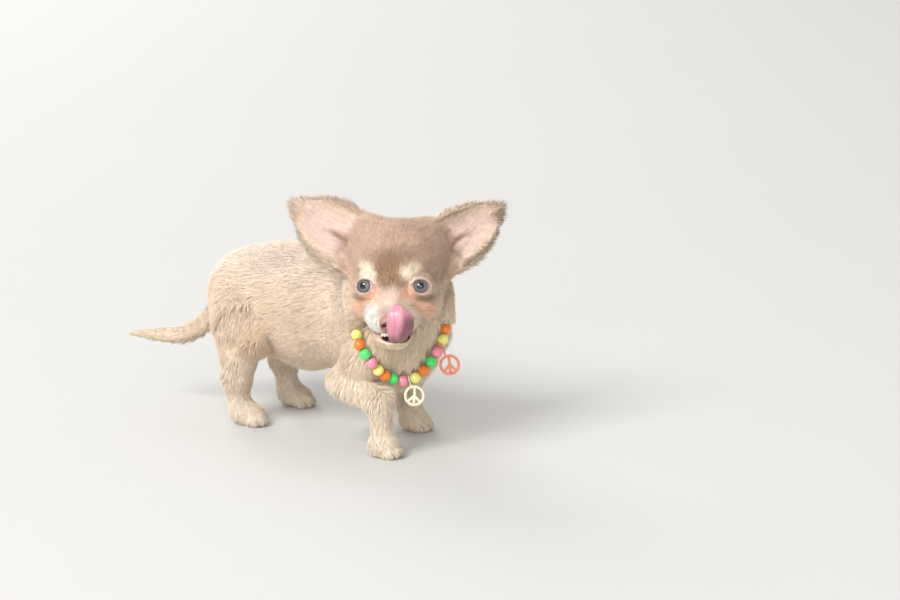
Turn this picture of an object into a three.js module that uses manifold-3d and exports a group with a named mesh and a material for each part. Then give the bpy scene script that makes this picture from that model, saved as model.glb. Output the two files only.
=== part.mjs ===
// A chihuahua puppy in mid-step, its head turned to the viewer and its tongue curled over its nose,
// with a necklace of round plastic beads and two ring charms. Life size, in millimetres, +Z up.
// It is shaped in a working frame: +X from rump to chest, +Y to its left, the floor at Z 0.
// The flesh is the surface of one smooth distance field, out to the tips of the coat, and flat cuts
// part it where a person would name its parts.
import * as THREE from "three";
import { mergeVertices } from "three/addons/utils/BufferGeometryUtils.js";
import Module from "manifold-3d";

const wasm = await Module();
wasm.setup();

// Driving dimensions
const gap = 0.3; // left between pieces that touch
const headAt = [63, -25, 131]; // middle of the braincase
const headYaw = -67; // degrees: the face looks to the puppy's right
const headPitch = -8; // degrees: the nose is raised
const chestAt = [44, -4, 0];
const chestYaw = -20;

// Trunk, as egg shapes with a middle and three half widths; those of the chest are in its own frame
const hips = { at: [-58, 0, 82.5], half: [39, 33, 38] };
const barrel = { at: [-16, 0, 81], half: [44, 35, 44] };
const ribs = { at: [-10, 0, 78.5], half: [42, 34, 45.5] };
const breast = { at: [18, 0, 73], half: [24, 25, 35] };
const shoulderLeft = { at: [4, 17, 72], half: [20, 14, 32] };
const shoulderRight = { at: [4, -22, 76], half: [20, 14, 30] };
const neckBase = [12, 0, 100]; // in the chest's frame
const neckTop = [-12, 0, -6]; // in the head's frame
const neckRadii = [31, 26];

// Legs
const pawHeight = 7.2; // middle of a paw above the floor
const hindHalf = 27; // from the middle of the body to a hind paw
const hindPaw = [13, 9.5, 8.6];
const forePaw = [11.5, 9.5, 8.6];
const hindStep = { right: 0, left: 6 }; // how far each hind paw is set forwards
const foreRightJoints = {
  shoulder: [52, -33, 76],
  elbow: [34, -40, 47],
  wrist: [60, -46, 37],
  toes: [64, -48, 9],
};
const foreLeftJoints = {
  shoulder: [61, 16, 72],
  elbow: [49, 19, 48],
  wrist: [47, 16, 22],
  toes: [53, 15, 9],
};

// Tail, root to tip
const tailPoints = [
  { at: [-78, 0, 86], radius: 14 },
  { at: [-96, -3, 66], radius: 8 },
  { at: [-114, -8, 53], radius: 7.2 },
  { at: [-134, -14, 50.5], radius: 5.3 },
  { at: [-152, -20, 50.5], radius: 2.5 },
];

// Head, in its own frame: +X out of the face, +Y to the puppy's left
const crown = { at: [-4, 0, 0], half: [33, 30, 26] };
const forehead = { at: [10, 0, -4], half: [21, 27, 23] };
const temple = { at: [-5, 13, 4.5], half: [20, 18, 18] };
const skullBase = { at: [-2, 0, -20], half: [27, 26, 20] };
const cheek = { at: [8, 16.5, -27], half: [19, 14.5, 17] };
const upperLip = { at: [32, 0, -37], half: [19.5, 17, 11.5] };
const chin = { at: [27, 0, -49], half: [18.5, 13.5, 9.5] };
const bridgeFrom = [20, 0, -20];
const bridgeTo = [40, 0, -31];
const eyeAt = [22.8, 17.4, -17]; // left eye
const eyeRadius = 7.2;
const nose = { at: [49.5, 0, -37], half: [6, 7, 5.4] };
const tongueHalfWidth = 8.2;
const tongueHalfThick = 2;
const ears = {
  right: { side: -1, root: [-5, -26, 5], long: 57, halfWidth: 24 },
  left: { side: 1, root: [-5, 26, 3.5], long: 55, halfWidth: 22 },
};
const earThick = 4.6;

// Necklace
const beadWide = 7.6; // across
const beadLong = 7.1; // along the string
const beadPitch = 7.6;
const beadsEachWay = 15; // from the lowest bead, so twice as many and one in all
const stringRadius = 0.4;
const stringProud = 1.9; // height of the string over the coat in front
const stringSunk = -2.6; // and in the ruff, where the coat closes over the beads
const ruffFrom = 76; // the string sinks between these two heights
const ruffTo = 92;
const channelRadius = 5.2; // groove that the necklace lies in
const charmRadius = 7;
const charmThick = 1.6;
const charmBar = 1.9;
const charmTurn = 0.37; // of the bars, so that they stand upright
const barThick = 1.2;
const bailSpace = 1.9; // between the two beads that a charm hangs between
const bailRadius = 2;
const bailWire = 0.5;

// Sizes of the facets that each stretch is drawn with
const thighFacet = [10.5, 10, 11];
const shankFacet = [9.5, 9, 12];
const pawFacet = [8, 7, 6.6];
const trunkFacet = [14.5, 11, 11];
const chestFacet = [10.5, 10, 10];
const tailFacet = [9, 6.6, 6.6];
const tailTipFacet = [7, 4.6, 4.6];
const headFacet = [8, 7.6, 8];

// Distance fields: each takes a point and gives its distance to a surface, negative inside
const mix = (a, b, t) => a + (b - a) * t;
const clamp = (t) => Math.min(1, Math.max(0, t));

const blob = ({ at, half }) => {
  const [rx, ry, rz] = half;
  return (x, y, z) => {
    const u = (x - at[0]) / rx;
    const v = (y - at[1]) / ry;
    const w = (z - at[2]) / rz;
    const near = Math.hypot(u, v, w);
    const slope = Math.hypot(u / rx, v / ry, w / rz);
    return slope < 1e-9 ? -Math.min(rx, ry, rz) : (near * (near - 1)) / slope;
  };
};
const mirrored = ({ at, half }) => ({ at: [at[0], -at[1], at[2]], half });

const limb = (a, b, radiusA, radiusB) => {
  const d = b.map((v, i) => v - a[i]);
  const square = d[0] ** 2 + d[1] ** 2 + d[2] ** 2;
  return (x, y, z) => {
    const px = x - a[0];
    const py = y - a[1];
    const pz = z - a[2];
    const t = clamp((px * d[0] + py * d[1] + pz * d[2]) / square);
    return Math.hypot(px - t * d[0], py - t * d[1], pz - t * d[2]) - mix(radiusA, radiusB, t);
  };
};

// Two surfaces that flow into each other within a width of k
const meet = (a, b, k) => Math.min(a, b) - Math.max(k - Math.abs(a - b), 0) ** 2 / (4 * k);
const melt =
  (k, first, ...rest) =>
  (x, y, z) =>
    rest.reduce((d, part) => meet(d, part(x, y, z), k), first(x, y, z));

const frameOf = (at, yaw, pitch = 0) =>
  new THREE.Matrix4()
    .makeRotationZ(THREE.MathUtils.degToRad(yaw))
    .multiply(new THREE.Matrix4().makeRotationY(THREE.MathUtils.degToRad(pitch)))
    .setPosition(...at);

const within = (frame, part) => {
  const m = frame.clone().invert().elements;
  return (x, y, z) =>
    part(
      m[0] * x + m[4] * y + m[8] * z + m[12],
      m[1] * x + m[5] * y + m[9] * z + m[13],
      m[2] * x + m[6] * y + m[10] * z + m[14],
    );
};

const headFrame = frameOf(headAt, headYaw, headPitch);
const chestFrame = frameOf(chestAt, chestYaw);
const inHead = (p) => new THREE.Vector3(...p).applyMatrix4(headFrame).toArray();
const inChest = (p) => new THREE.Vector3(...p).applyMatrix4(chestFrame).toArray();

// Trunk
const back = melt(14, blob(hips), blob(barrel));
const front = melt(14, blob(ribs), blob(breast), blob(shoulderLeft), blob(shoulderRight));
const neck = limb(inChest(neckBase), inHead(neckTop), ...neckRadii);
const trunk = melt(18, back, within(chestFrame, front), neck);

// Legs
const hindLeg = (side, step) => {
  const hip = [-58, 20 * side, 78];
  const buttock = [-66 + step * 0.2, 22 * side, 66];
  const knee = [-42 + step * 0.3, hindHalf * side, 56];
  const hock = [-63 + step, hindHalf * side, 34];
  const heel = [-60 + step, hindHalf * side, 12];
  return melt(
    7,
    limb(hip, knee, 24, 16),
    limb(buttock, hock, 17, 10),
    limb(knee, hock, 14, 9.5),
    limb(hock, heel, 9.5, 8.5),
    blob({ at: [-54 + step, hindHalf * side, pawHeight], half: hindPaw }),
  );
};
const foreLeg = ({ shoulder, elbow, wrist, toes }) =>
  melt(
    6,
    limb(shoulder, elbow, 18, 14),
    limb(elbow, wrist, 13, 9.5),
    limb(wrist, toes, 9.5, 8),
    blob({ at: [toes[0], toes[1], pawHeight], half: forePaw }),
  );
const hindRight = hindLeg(-1, hindStep.right);
const hindLeft = hindLeg(1, hindStep.left);
const foreRight = foreLeg(foreRightJoints);
const foreLeft = foreLeg(foreLeftJoints);

const tail = melt(
  4,
  ...tailPoints.slice(1).map((to, i) => limb(tailPoints[i].at, to.at, tailPoints[i].radius, to.radius)),
);

// Head
const skull = melt(
  10,
  blob(crown),
  blob(forehead),
  blob(temple),
  blob(mirrored(temple)),
  blob(skullBase),
  blob(cheek),
  blob(mirrored(cheek)),
);
const muzzle = melt(5, blob(upperLip), limb(bridgeFrom, bridgeTo, 9, 6.5));
const face = within(headFrame, melt(7, skull, melt(3, muzzle, blob(chin))));

const hindQuarters = melt(6, hindRight, tail);
const bodyWithoutHead = melt(9, trunk, hindQuarters, hindLeft, foreRight, foreLeft);
const headAndNeck = melt(10, neck, face);
const wholeBody = melt(9, melt(10, trunk, face), hindQuarters, hindLeft, foreRight, foreLeft);

// The surface of a field inside a box of the given frame, closed on the box, as one geometry: a
// vertex in each cell that it crosses, and a quadrilateral round each crossed edge of the cells
function surfaceOf(field, low, high, facet, frame) {
  const n = low.map((v, i) => Math.max(3, Math.round((high[i] - v) / facet[i])));
  const step = n.map((count, i) => (high[i] - low[i]) / count);
  const size = n.map((count) => count + 1);
  const at = (i, j, k) => (k * size[1] + j) * size[0] + i;
  const everyOf = (counts, visit) => {
    for (let k = 0; k < counts[2]; k++)
      for (let j = 0; j < counts[1]; j++) for (let i = 0; i < counts[0]; i++) visit(i, j, k);
  };
  const p = new THREE.Vector3();
  const value = new Float32Array(size[0] * size[1] * size[2]);
  everyOf(size, (i, j, k) => {
    p.set(low[0] + i * step[0], low[1] + j * step[1], low[2] + k * step[2]).applyMatrix4(frame);
    const edge = !i || !j || !k || i === n[0] || j === n[1] || k === n[2];
    const d = field(p.x, p.y, p.z);
    value[at(i, j, k)] = edge ? Math.max(d, 0.05) : d;
  });
  const corners = [0, 1, 2, 3, 4, 5, 6, 7].map((c) => [c & 1, (c >> 1) & 1, c >> 2]);
  const edges = corners.flatMap((a, ia) =>
    corners
      .filter((b, ib) => ia < ib && a.reduce((sum, v, i) => sum + Math.abs(v - b[i]), 0) === 1)
      .map((b) => [a, b]),
  );
  const places = [];
  const vertexOf = new Int32Array(value.length).fill(-1);
  everyOf(n, (i, j, k) => {
    const sum = new THREE.Vector3();
    let crossings = 0;
    for (const [a, b] of edges) {
      const va = value[at(i + a[0], j + a[1], k + a[2])];
      const vb = value[at(i + b[0], j + b[1], k + b[2])];
      if (va < 0 === vb < 0) continue;
      const t = va / (va - vb);
      sum.add(p.set(mix(a[0], b[0], t), mix(a[1], b[1], t), mix(a[2], b[2], t)));
      crossings++;
    }
    if (!crossings) return;
    vertexOf[at(i, j, k)] = places.length / 3;
    p.set(i, j, k)
      .addScaledVector(sum, 1 / crossings)
      .multiply(new THREE.Vector3(...step))
      .add(new THREE.Vector3(...low))
      .applyMatrix4(frame);
    places.push(p.x, p.y, p.z);
  });
  const faces = [];
  const span = (s, t) => Math.hypot(...[0, 1, 2].map((c) => places[s * 3 + c] - places[t * 3 + c]));
  const quad = (out, ...around) => {
    const four = out ? around : around.reverse();
    const turn = span(four[0], four[2]) > span(four[1], four[3]) ? 1 : 0;
    const [e, f, g, h] = [0, 1, 2, 3].map((i) => four[(i + turn) % 4]);
    faces.push(e, f, g, e, g, h);
  };
  everyOf(n, (i, j, k) => {
    const inside = value[at(i, j, k)] < 0;
    const v = (a, b, c) => vertexOf[at(i - a, j - b, k - c)];
    if (inside !== value[at(i + 1, j, k)] < 0)
      quad(inside, v(0, 1, 1), v(0, 0, 1), v(0, 0, 0), v(0, 1, 0));
    if (inside !== value[at(i, j + 1, k)] < 0)
      quad(inside, v(1, 0, 1), v(1, 0, 0), v(0, 0, 0), v(0, 0, 1));
    if (inside !== value[at(i, j, k + 1)] < 0)
      quad(inside, v(1, 1, 0), v(0, 1, 0), v(0, 0, 0), v(1, 0, 0));
  });
  const geometry = new THREE.BufferGeometry();
  geometry.setAttribute("position", new THREE.Float32BufferAttribute(places, 3));
  geometry.setIndex(faces);
  return geometry;
}

// A closed skin over rings of equally many points, with flat ends unless it joins up in a loop
function loft(rings, loop = false) {
  const count = rings[0].length;
  const last = (rings.length - 1) * count;
  const faces = [];
  for (let r = 0; r < rings.length - (loop ? 0 : 1); r++)
    for (let i = 0; i < count; i++) {
      const j = (i + 1) % count;
      const here = r * count;
      const next = ((r + 1) % rings.length) * count;
      faces.push(here + i, here + j, next + j, here + i, next + j, next + i);
    }
  for (let i = 1; i + 1 < count && !loop; i++)
    faces.push(0, i + 1, i, last, last + i, last + i + 1);
  const places = rings.flatMap((ring) => ring.flatMap((p) => p.toArray()));
  const geometry = new THREE.BufferGeometry();
  geometry.setAttribute("position", new THREE.Float32BufferAttribute(places, 3));
  geometry.setIndex(faces);
  return geometry;
}

// Points of an oval round a middle, from the directions and half widths of its two axes
const oval = (middle, wide, up, halfWide, halfUp, sides) =>
  Array.from({ length: sides }, (_, i) => {
    const turn = (i / sides) * 2 * Math.PI;
    return middle
      .clone()
      .addScaledVector(wide, Math.cos(turn) * halfWide)
      .addScaledVector(up, Math.sin(turn) * halfUp);
  });

// Solids, and what joins and cuts them
const solidFrom = (geometry, frame = new THREE.Matrix4()) => {
  const bare = new THREE.BufferGeometry();
  bare.setAttribute("position", geometry.getAttribute("position"));
  bare.setIndex(geometry.index);
  const merged = mergeVertices(bare, 1e-4).applyMatrix4(frame);
  return new wasm.Manifold(
    new wasm.Mesh({
      numProp: 3,
      vertProperties: merged.attributes.position.array,
      triVerts: new Uint32Array(merged.index.array),
    }),
  );
};
const geometryFrom = (solid) => {
  const { numProp, vertProperties, triVerts } = solid.getMesh();
  const places = Array.from({ length: vertProperties.length / numProp }, (_, i) => [
    ...vertProperties.subarray(i * numProp, i * numProp + 3),
  ]);
  const geometry = new THREE.BufferGeometry();
  geometry.setAttribute("position", new THREE.Float32BufferAttribute(places.flat(), 3));
  geometry.setIndex(Array.from(triVerts));
  return geometry;
};
const joined = (solids) => solids.reduce((all, solid) => all.add(solid));
const moved = (at, turn = new THREE.Quaternion()) =>
  new THREE.Matrix4().compose(new THREE.Vector3(...at), turn, new THREE.Vector3(1, 1, 1));
const turnedTo = (from, to) =>
  new THREE.Quaternion().setFromUnitVectors(new THREE.Vector3(...from), to.clone().normalize());

const block = (low, high, frame) => {
  const box = new THREE.BoxGeometry(...high.map((v, i) => v - low[i]));
  return solidFrom(box.translate(...high.map((v, i) => (v + low[i]) / 2)), frame);
};
const grown = (low, high, by, frame) =>
  block(
    low.map((v) => v - by),
    high.map((v) => v + by),
    frame,
  );

// All that lies on the side of a plane that its normal points to, less half the gap
const far = 400; // well past the puppy in every direction
const beyond = (point, normal) =>
  block(
    [-far, -far, gap / 2],
    [far, far, far],
    moved(point, turnedTo([0, 0, 1], new THREE.Vector3(...normal))),
  );
const opposite = (v) => v.map((c) => -c);

// A stretch of a field within a block of the given frame
const ownFrame = new THREE.Matrix4();
const stretch = (field, [low, high], facet, frame = ownFrame) => {
  const wideLow = low.map((v, i) => v - 2 * facet[i]);
  const wideHigh = high.map((v, i) => v + 2 * facet[i]);
  const surface = surfaceOf(field, wideLow, wideHigh, facet, frame);
  return solidFrom(surface).intersect(block(low, high, frame));
};

// Eyes and nose
const eyeball = (side, radius) => {
  const middle = inHead([eyeAt[0], eyeAt[1] * side, eyeAt[2]]);
  return solidFrom(new THREE.SphereGeometry(radius, 10, 7), moved(middle));
};
const noseBall = (extra) => {
  const ball = new THREE.SphereGeometry(1, 10, 7);
  ball.scale(...nose.half.map((r) => r + extra)).translate(...nose.at);
  return solidFrom(ball, headFrame);
};

// The tongue comes out over the lower lip and curls up over the left half of the nose
const tongueLine = new THREE.CatmullRomCurve3(
  [
    [30, 2, -46],
    [42, 4, -47],
    [51.5, 5.5, -46.5],
    [57.3, 6.3, -42],
    [59.2, 6.5, -36],
    [57.2, 6.5, -30.8],
    [53.8, 6.5, -28],
  ].map((p) => new THREE.Vector3(...p)),
);
const tongueStations = [0, 0.22, 0.4, 0.54, 0.67, 0.8, 0.9, 0.98];
const tongueTaper = (t) => Math.sqrt(1 - Math.max(0, (t - 0.6) / 0.42) ** 2);
const tongue = (extra) => {
  const wide = new THREE.Vector3(0, 1, 0);
  const rings = tongueStations.map((t) => {
    const up = tongueLine.getTangentAt(t).cross(wide).normalize();
    const halfWide = tongueHalfWidth * tongueTaper(t) + extra;
    const halfUp = tongueHalfThick * Math.sqrt(tongueTaper(t)) + extra;
    return oval(tongueLine.getPointAt(t), wide, up, halfWide, halfUp, 10);
  });
  return solidFrom(loft(rings), headFrame);
};

// Ear: a cupped leaf, u across it and v along it from root (0) to tip (1), out being its open side
const earWays = {
  right: { along: [-0.1, -0.85, 0.53], out: [0.97, -0.08, 0.2] },
  left: { along: [-0.12, 0.79, 0.6], out: [0.93, 0.3, 0.05] },
};
const earStations = [-0.18, 0.02, 0.22, 0.42, 0.6, 0.76, 0.89, 0.98];
const earSpread = [-1, -0.6, 0, 0.6, 1];
const earOutline = (v) => (1 - v ** 2.6) ** 0.75 * (0.86 + 0.14 * Math.min(1, v / 0.3));
const earCup = (u, v) => 9 * (1 - v) ** 0.7 * u * u + 3 * v * v - 2.5 * (1 - v);
const ear = (name) => {
  const { side, long, halfWidth } = ears[name];
  const along = new THREE.Vector3(...earWays[name].along).normalize();
  const out = new THREE.Vector3(...earWays[name].out).projectOnPlane(along).normalize();
  const wide = new THREE.Vector3().crossVectors(along, out).multiplyScalar(side);
  const root = new THREE.Vector3(...ears[name].root);
  const point = (u, v, rise) =>
    root
      .clone()
      .addScaledVector(along, v * long)
      .addScaledVector(wide, u * halfWidth * earOutline(Math.max(v, 0)))
      .addScaledVector(out, earCup(u, Math.max(v, 0)) + rise);
  const rings = earStations.map((v) => {
    const half = (earThick / 2) * (1 - 0.4 * Math.max(v, 0));
    const rise = (u) => half * (1 - u ** 4) + gap;
    const inner = earSpread.map((u) => point(u, v, rise(u)));
    const outer = earSpread.map((u) => point(u, v, -rise(u))).reverse();
    return side > 0 ? [...inner, ...outer] : [...inner, ...outer].reverse();
  });
  return solidFrom(loft(rings), headFrame);
};

// Necklace: the string runs round the neck, sunk in the ruff, and hangs over the chest
const slopeAt = (field, q) => {
  const d = field(q.x, q.y, q.z);
  const reach = 0.1;
  return new THREE.Vector3(
    field(q.x + reach, q.y, q.z) - d,
    field(q.x, q.y + reach, q.z) - d,
    field(q.x, q.y, q.z + reach) - d,
  ).normalize();
};
const liftTo = (p, height) => {
  const q = p.clone();
  for (let turn = 0; turn < 12; turn++)
    q.addScaledVector(slopeAt(wholeBody, q), (height - wholeBody(q.x, q.y, q.z)) * 0.7);
  return q;
};
const sinking = (z) => clamp((z - ruffFrom) / (ruffTo - ruffFrom));
const lowestPoint = new THREE.Vector3(67.5, -28, 47);
const stringGuide = new THREE.CatmullRomCurve3(
  [
    [46, 15, 119], // nape
    [38, -4, 120],
    [36, -20, 117],
    [38, -34, 107],
    [40, -42, 95],
    [44, -49.5, 83], // right side of the neck
    [55, -51, 67],
    [62, -36, 51],
    [71, -26, 47.5], // lowest, on the chest
    [81, -20.5, 56.5],
    [87, -11, 72],
    [88, -3, 84], // left side of the neck
    [87, 2, 96],
    [80, 12, 108],
    [64, 21, 116],
  ].map((p) => new THREE.Vector3(...p)),
  true,
);
const guideSteps = 60;
const stringLine = new THREE.CatmullRomCurve3(
  stringGuide
    .getSpacedPoints(guideSteps)
    .slice(0, guideSteps)
    .map((p) => liftTo(p, mix(stringProud, stringSunk, sinking(p.z)))),
  true,
);
stringLine.arcLengthDivisions = 600;
const stringLength = stringLine.getLength();
const stringAt = (along) => stringLine.getPointAt((((along / stringLength) % 1) + 1) % 1);
const tries = Array.from({ length: 600 }, (_, i) => (i / 600) * stringLength);
const toLowest = (along) => stringAt(along).distanceTo(lowestPoint);
const lowestAlong = tries.reduce((a, b) => (toLowest(a) < toLowest(b) ? a : b));

// A closed tube through points of the string
const tubeThrough = (places, radius, sides) => {
  const line = new THREE.CatmullRomCurve3(places, true);
  const { normals, binormals } = line.computeFrenetFrames(places.length, true);
  const rings = places.map((p, r) => oval(p, normals[r], binormals[r], radius, radius, sides));
  return solidFrom(loft(rings, true));
};

// Charms and beads. The string has a corner at each end of every bead, which lies between them
const charms = [
  { name: "charm_cream", after: 0, swing: [4.5, -1, -10.5], colour: 0xf3ecc4 },
  { name: "charm_orange", after: 4, swing: [7.2, 0, -12.2], colour: 0xe8704a },
];
const beadColours = [0xf2dc55, 0xff6620, 0x35c94a, 0xee6f92]; // in turn along the string
const lowestColour = 3;
const beads = Array.from({ length: 2 * beadsEachWay + 1 }, (_, i) => i - beadsEachWay);
const charmsBefore = (i) => charms.filter((charm) => i > charm.after).length;
const beadMiddle = (i) => lowestAlong + i * beadPitch + bailSpace * charmsBefore(i);
const beadEnds = (i) => [beadMiddle(i) - beadPitch / 2, beadMiddle(i) + beadPitch / 2];
const startsAfresh = (i) => i === -beadsEachWay || charms.some((charm) => charm.after === i - 1);
const corners = beads.flatMap((i) => (startsAfresh(i) ? beadEnds(i) : beadEnds(i).slice(1)));
const bareSteps = 4;
const bareFrom = corners.at(-1);
const bareStep = (stringLength - bareFrom + corners[0]) / bareSteps;
for (let step = 1; step < bareSteps; step++) corners.push(bareFrom + step * bareStep);

const channelSteps = 26;
const channelPlaces = Array.from({ length: channelSteps }, (_, i) =>
  stringAt((i / channelSteps) * stringLength),
);
const channel = tubeThrough(channelPlaces, channelRadius, 6);

const beadSolid = (i) => {
  const [a, b] = beadEnds(i).map(stringAt);
  const steep = Math.asin(beadLong / beadWide);
  const profile = [-1, -0.4, 0.4, 1].map((t) =>
    new THREE.Vector2(Math.cos(t * steep), Math.sin(t * steep)).multiplyScalar(beadWide / 2),
  );
  const bead = new THREE.LatheGeometry([...profile, profile[0]], 6);
  const turn = turnedTo([0, 1, 0], b.clone().sub(a));
  return solidFrom(bead, moved(a.lerp(b, 0.5), turn));
};

// A ring with three bars, on a stem and a small bail round the string, its face to the viewer
const viewer = new THREE.Vector3(0.48, -0.83, 0.29);
const charmSolid = ({ after, swing }) => {
  const hook = stringAt(beadEnds(after)[1] + bailSpace / 2);
  const ahead = stringAt(beadEnds(after)[1] + bailSpace).sub(hook).normalize();
  const down = new THREE.Vector3(...swing).normalize();
  const middle = hook.clone().add(new THREE.Vector3(...swing));
  const faceOut = viewer.clone().projectOnPlane(down).normalize();
  const wide = new THREE.Vector3().crossVectors(down, faceOut);
  const frame = new THREE.Matrix4()
    .makeBasis(wide, down.clone().negate(), faceOut.clone().negate())
    .setPosition(middle);
  const flat = frame.clone().multiply(new THREE.Matrix4().makeRotationX(Math.PI / 2));
  const disc = (radius, thick) =>
    solidFrom(new THREE.CylinderGeometry(radius, radius, thick, 12), flat);
  const rim = charmRadius - charmBar / 2;
  const bar = (turn, low) =>
    block(
      [-charmBar / 2, low, -barThick / 2],
      [charmBar / 2, rim, barThick / 2],
      frame.clone().multiply(new THREE.Matrix4().makeRotationZ(turn + charmTurn)),
    );
  const bail = new THREE.TorusGeometry(bailRadius, bailWire, 3, 6);
  const below = down.clone().projectOnPlane(ahead).normalize();
  const stemEnds = [
    hook.clone().addScaledVector(below, bailRadius),
    middle.clone().addScaledVector(down, -rim),
  ];
  const stem = stemEnds.map((p) => oval(p, faceOut, wide, bailWire * 1.2, bailWire * 1.2, 4));
  return joined([
    disc(charmRadius, charmThick).subtract(disc(charmRadius - charmBar, 2 * charmThick)),
    bar(0, -rim),
    bar(Math.PI * 0.75, 0),
    bar(-Math.PI * 0.75, 0),
    solidFrom(bail, moved(hook, turnedTo([0, 0, 1], ahead))),
    solidFrom(loft(stem)),
  ]);
};

// What the object is made of, node by node
const puppy = new THREE.Group();
const show = (name, solid, colour, roughness = 0.9) => {
  const material = new THREE.MeshStandardMaterial({ color: colour, roughness, metalness: 0 });
  const mesh = new THREE.Mesh(geometryFrom(solid), material);
  mesh.name = name;
  puppy.add(mesh);
};
const tan = 0xcfae8e;
const cream = 0xe6cfae;

// Planes that part the neck from the trunk and from the head
const neckFrom = [54, -9, 103];
const neckAlong = [0.25, -0.47, 0.85];
const throatFrom = inHead([-14, 0, -29]);
const headSide = new THREE.Vector3(0.69, 0, 0.72).transformDirection(headFrame).toArray();
const belowNeck = beyond(neckFrom, opposite(neckAlong));
const aboveNeck = beyond(neckFrom, neckAlong);

// Each leg's block, where it is parted from the trunk, and the heights that part it in three
const hindNames = ["thigh_hind_", "shank_hind_", "foot_hind_"];
const foreNames = ["shoulder_fore_", "forearm_fore_", "paw_fore_"];
const legs = [
  { side: "right", names: hindNames, low: [-91, -60], high: [-24, -12], levels: [88, 54, 27] },
  { side: "left", names: hindNames, low: [-91, 12], high: [-20, 56], levels: [88, 54, 27] },
  { side: "right", names: foreNames, low: [18, -76], high: [92, -25], levels: [86, 60, 26] },
  { side: "left", names: foreNames, low: [22, 7], high: [92, 50], levels: [84, 56, 24] },
];
const legFacets = [thighFacet, shankFacet, pawFacet];
for (const { side, names, low, high, levels } of legs)
  names.forEach((name, i) => {
    const bottom = i < 2 ? levels[i + 1] + gap / 2 : 0;
    const top = levels[i] - (i > 0 ? gap / 2 : 0);
    const corner = [low[0] + gap / 2, low[1], bottom];
    const whole = stretch(bodyWithoutHead, [corner, [...high, top]], legFacets[i]);
    const clear = names === foreNames ? whole.subtract(channel).intersect(belowNeck) : whole;
    show(name + side, clear, i < 2 ? tan : cream);
  });
const underFloor = -20;
const legBlocks = joined(
  legs.map(({ low, high, levels }) => grown([...low, underFloor], [...high, levels[0]], gap)),
);

// Trunk and tail, by where each stretch starts and ends along the body
const tailTipFrom = -118;
const tailFrom = -91;
const bellyFrom = -38;
const chestFrom = 20;
const rumpBox = [[tailFrom + gap / 2, -50, 20], [bellyFrom - gap / 2, 50, 150]];
const bellyBox = [[bellyFrom + gap / 2, -50, 20], [chestFrom - gap / 2, 50, 150]];
const chestBox = [[chestFrom + gap / 2, -60, 20], [100, 50, 150]];
const neckBox = [[-30, -80, 70], [110, 50, 160]];
const tailBox = [[tailTipFrom + gap / 2, -40, 20], [tailFrom - gap / 2, 30, 110]];
const tailTipBox = [[-170, -50, 20], [tailTipFrom - gap / 2, 20, 80]];
show("rump", stretch(bodyWithoutHead, rumpBox, trunkFacet).subtract(legBlocks), tan);
const belly = stretch(bodyWithoutHead, bellyBox, trunkFacet).subtract(legBlocks);
show("belly", belly.intersect(belowNeck), tan);
const chest = stretch(bodyWithoutHead, chestBox, chestFacet).subtract(legBlocks);
show("chest", chest.intersect(belowNeck).subtract(channel), tan);
const throat = stretch(wholeBody, neckBox, chestFacet).intersect(aboveNeck).subtract(channel);
show("neck", throat.intersect(beyond(throatFrom, opposite(headSide))), tan);
show("tail_base", stretch(bodyWithoutHead, tailBox, tailFacet), tan);
show("tail_tip", stretch(bodyWithoutHead, tailTipBox, tailTipFacet), cream);

// Head
const headBox = [[-50, -60, -75], [75, 60, 45]];
const jawBox = [[14, -30, -75], [70, 30, -45.5]];
const headSolid = stretch(headAndNeck, headBox, headFacet, headFrame)
  .intersect(beyond(throatFrom, headSide))
  .intersect(aboveNeck)
  .subtract(channel)
  .subtract(tongue(gap));
const sockets = joined([eyeball(-1, eyeRadius + gap), eyeball(1, eyeRadius + gap), noseBall(gap)]);
show("head", headSolid.subtract(sockets).subtract(grown(...jawBox, gap, headFrame)), tan);
show("lower_jaw", headSolid.intersect(block(...jawBox, headFrame)), cream);
show("nose", noseBall(0).subtract(tongue(gap)), 0x9a6a5e, 0.5);
show("tongue", tongue(0), 0xe28aa0, 0.3);
const clearOfHead = (x, y, z) => headAndNeck(x, y, z) - gap;
const headWithGap = stretch(clearOfHead, headBox, headFacet, headFrame);
for (const [name, { side }] of Object.entries(ears)) {
  show("eye_" + name, eyeball(side, eyeRadius), 0x56606a, 0.1);
  show("ear_" + name, ear(name).subtract(headWithGap), 0xddbfa6);
}

// Necklace
show("string", tubeThrough(corners.map(stringAt), stringRadius, 3), 0xe8e2d8, 0.4);
beads.forEach((i, order) => {
  const colour = (i + lowestColour + 4 * beadsEachWay) % 4;
  show("bead_" + String(order + 1).padStart(2, "0"), beadSolid(i), beadColours[colour], 0.25);
});
for (const charm of charms) show(charm.name, charmSolid(charm), charm.colour, 0.3);

// The puppy stands on the floor, over the middle of its own box
const box = new THREE.Box3().setFromObject(puppy);
const middle = box.getCenter(new THREE.Vector3());
puppy.position.set(-middle.x, -middle.y, -box.min.z);

export default puppy;
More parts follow.
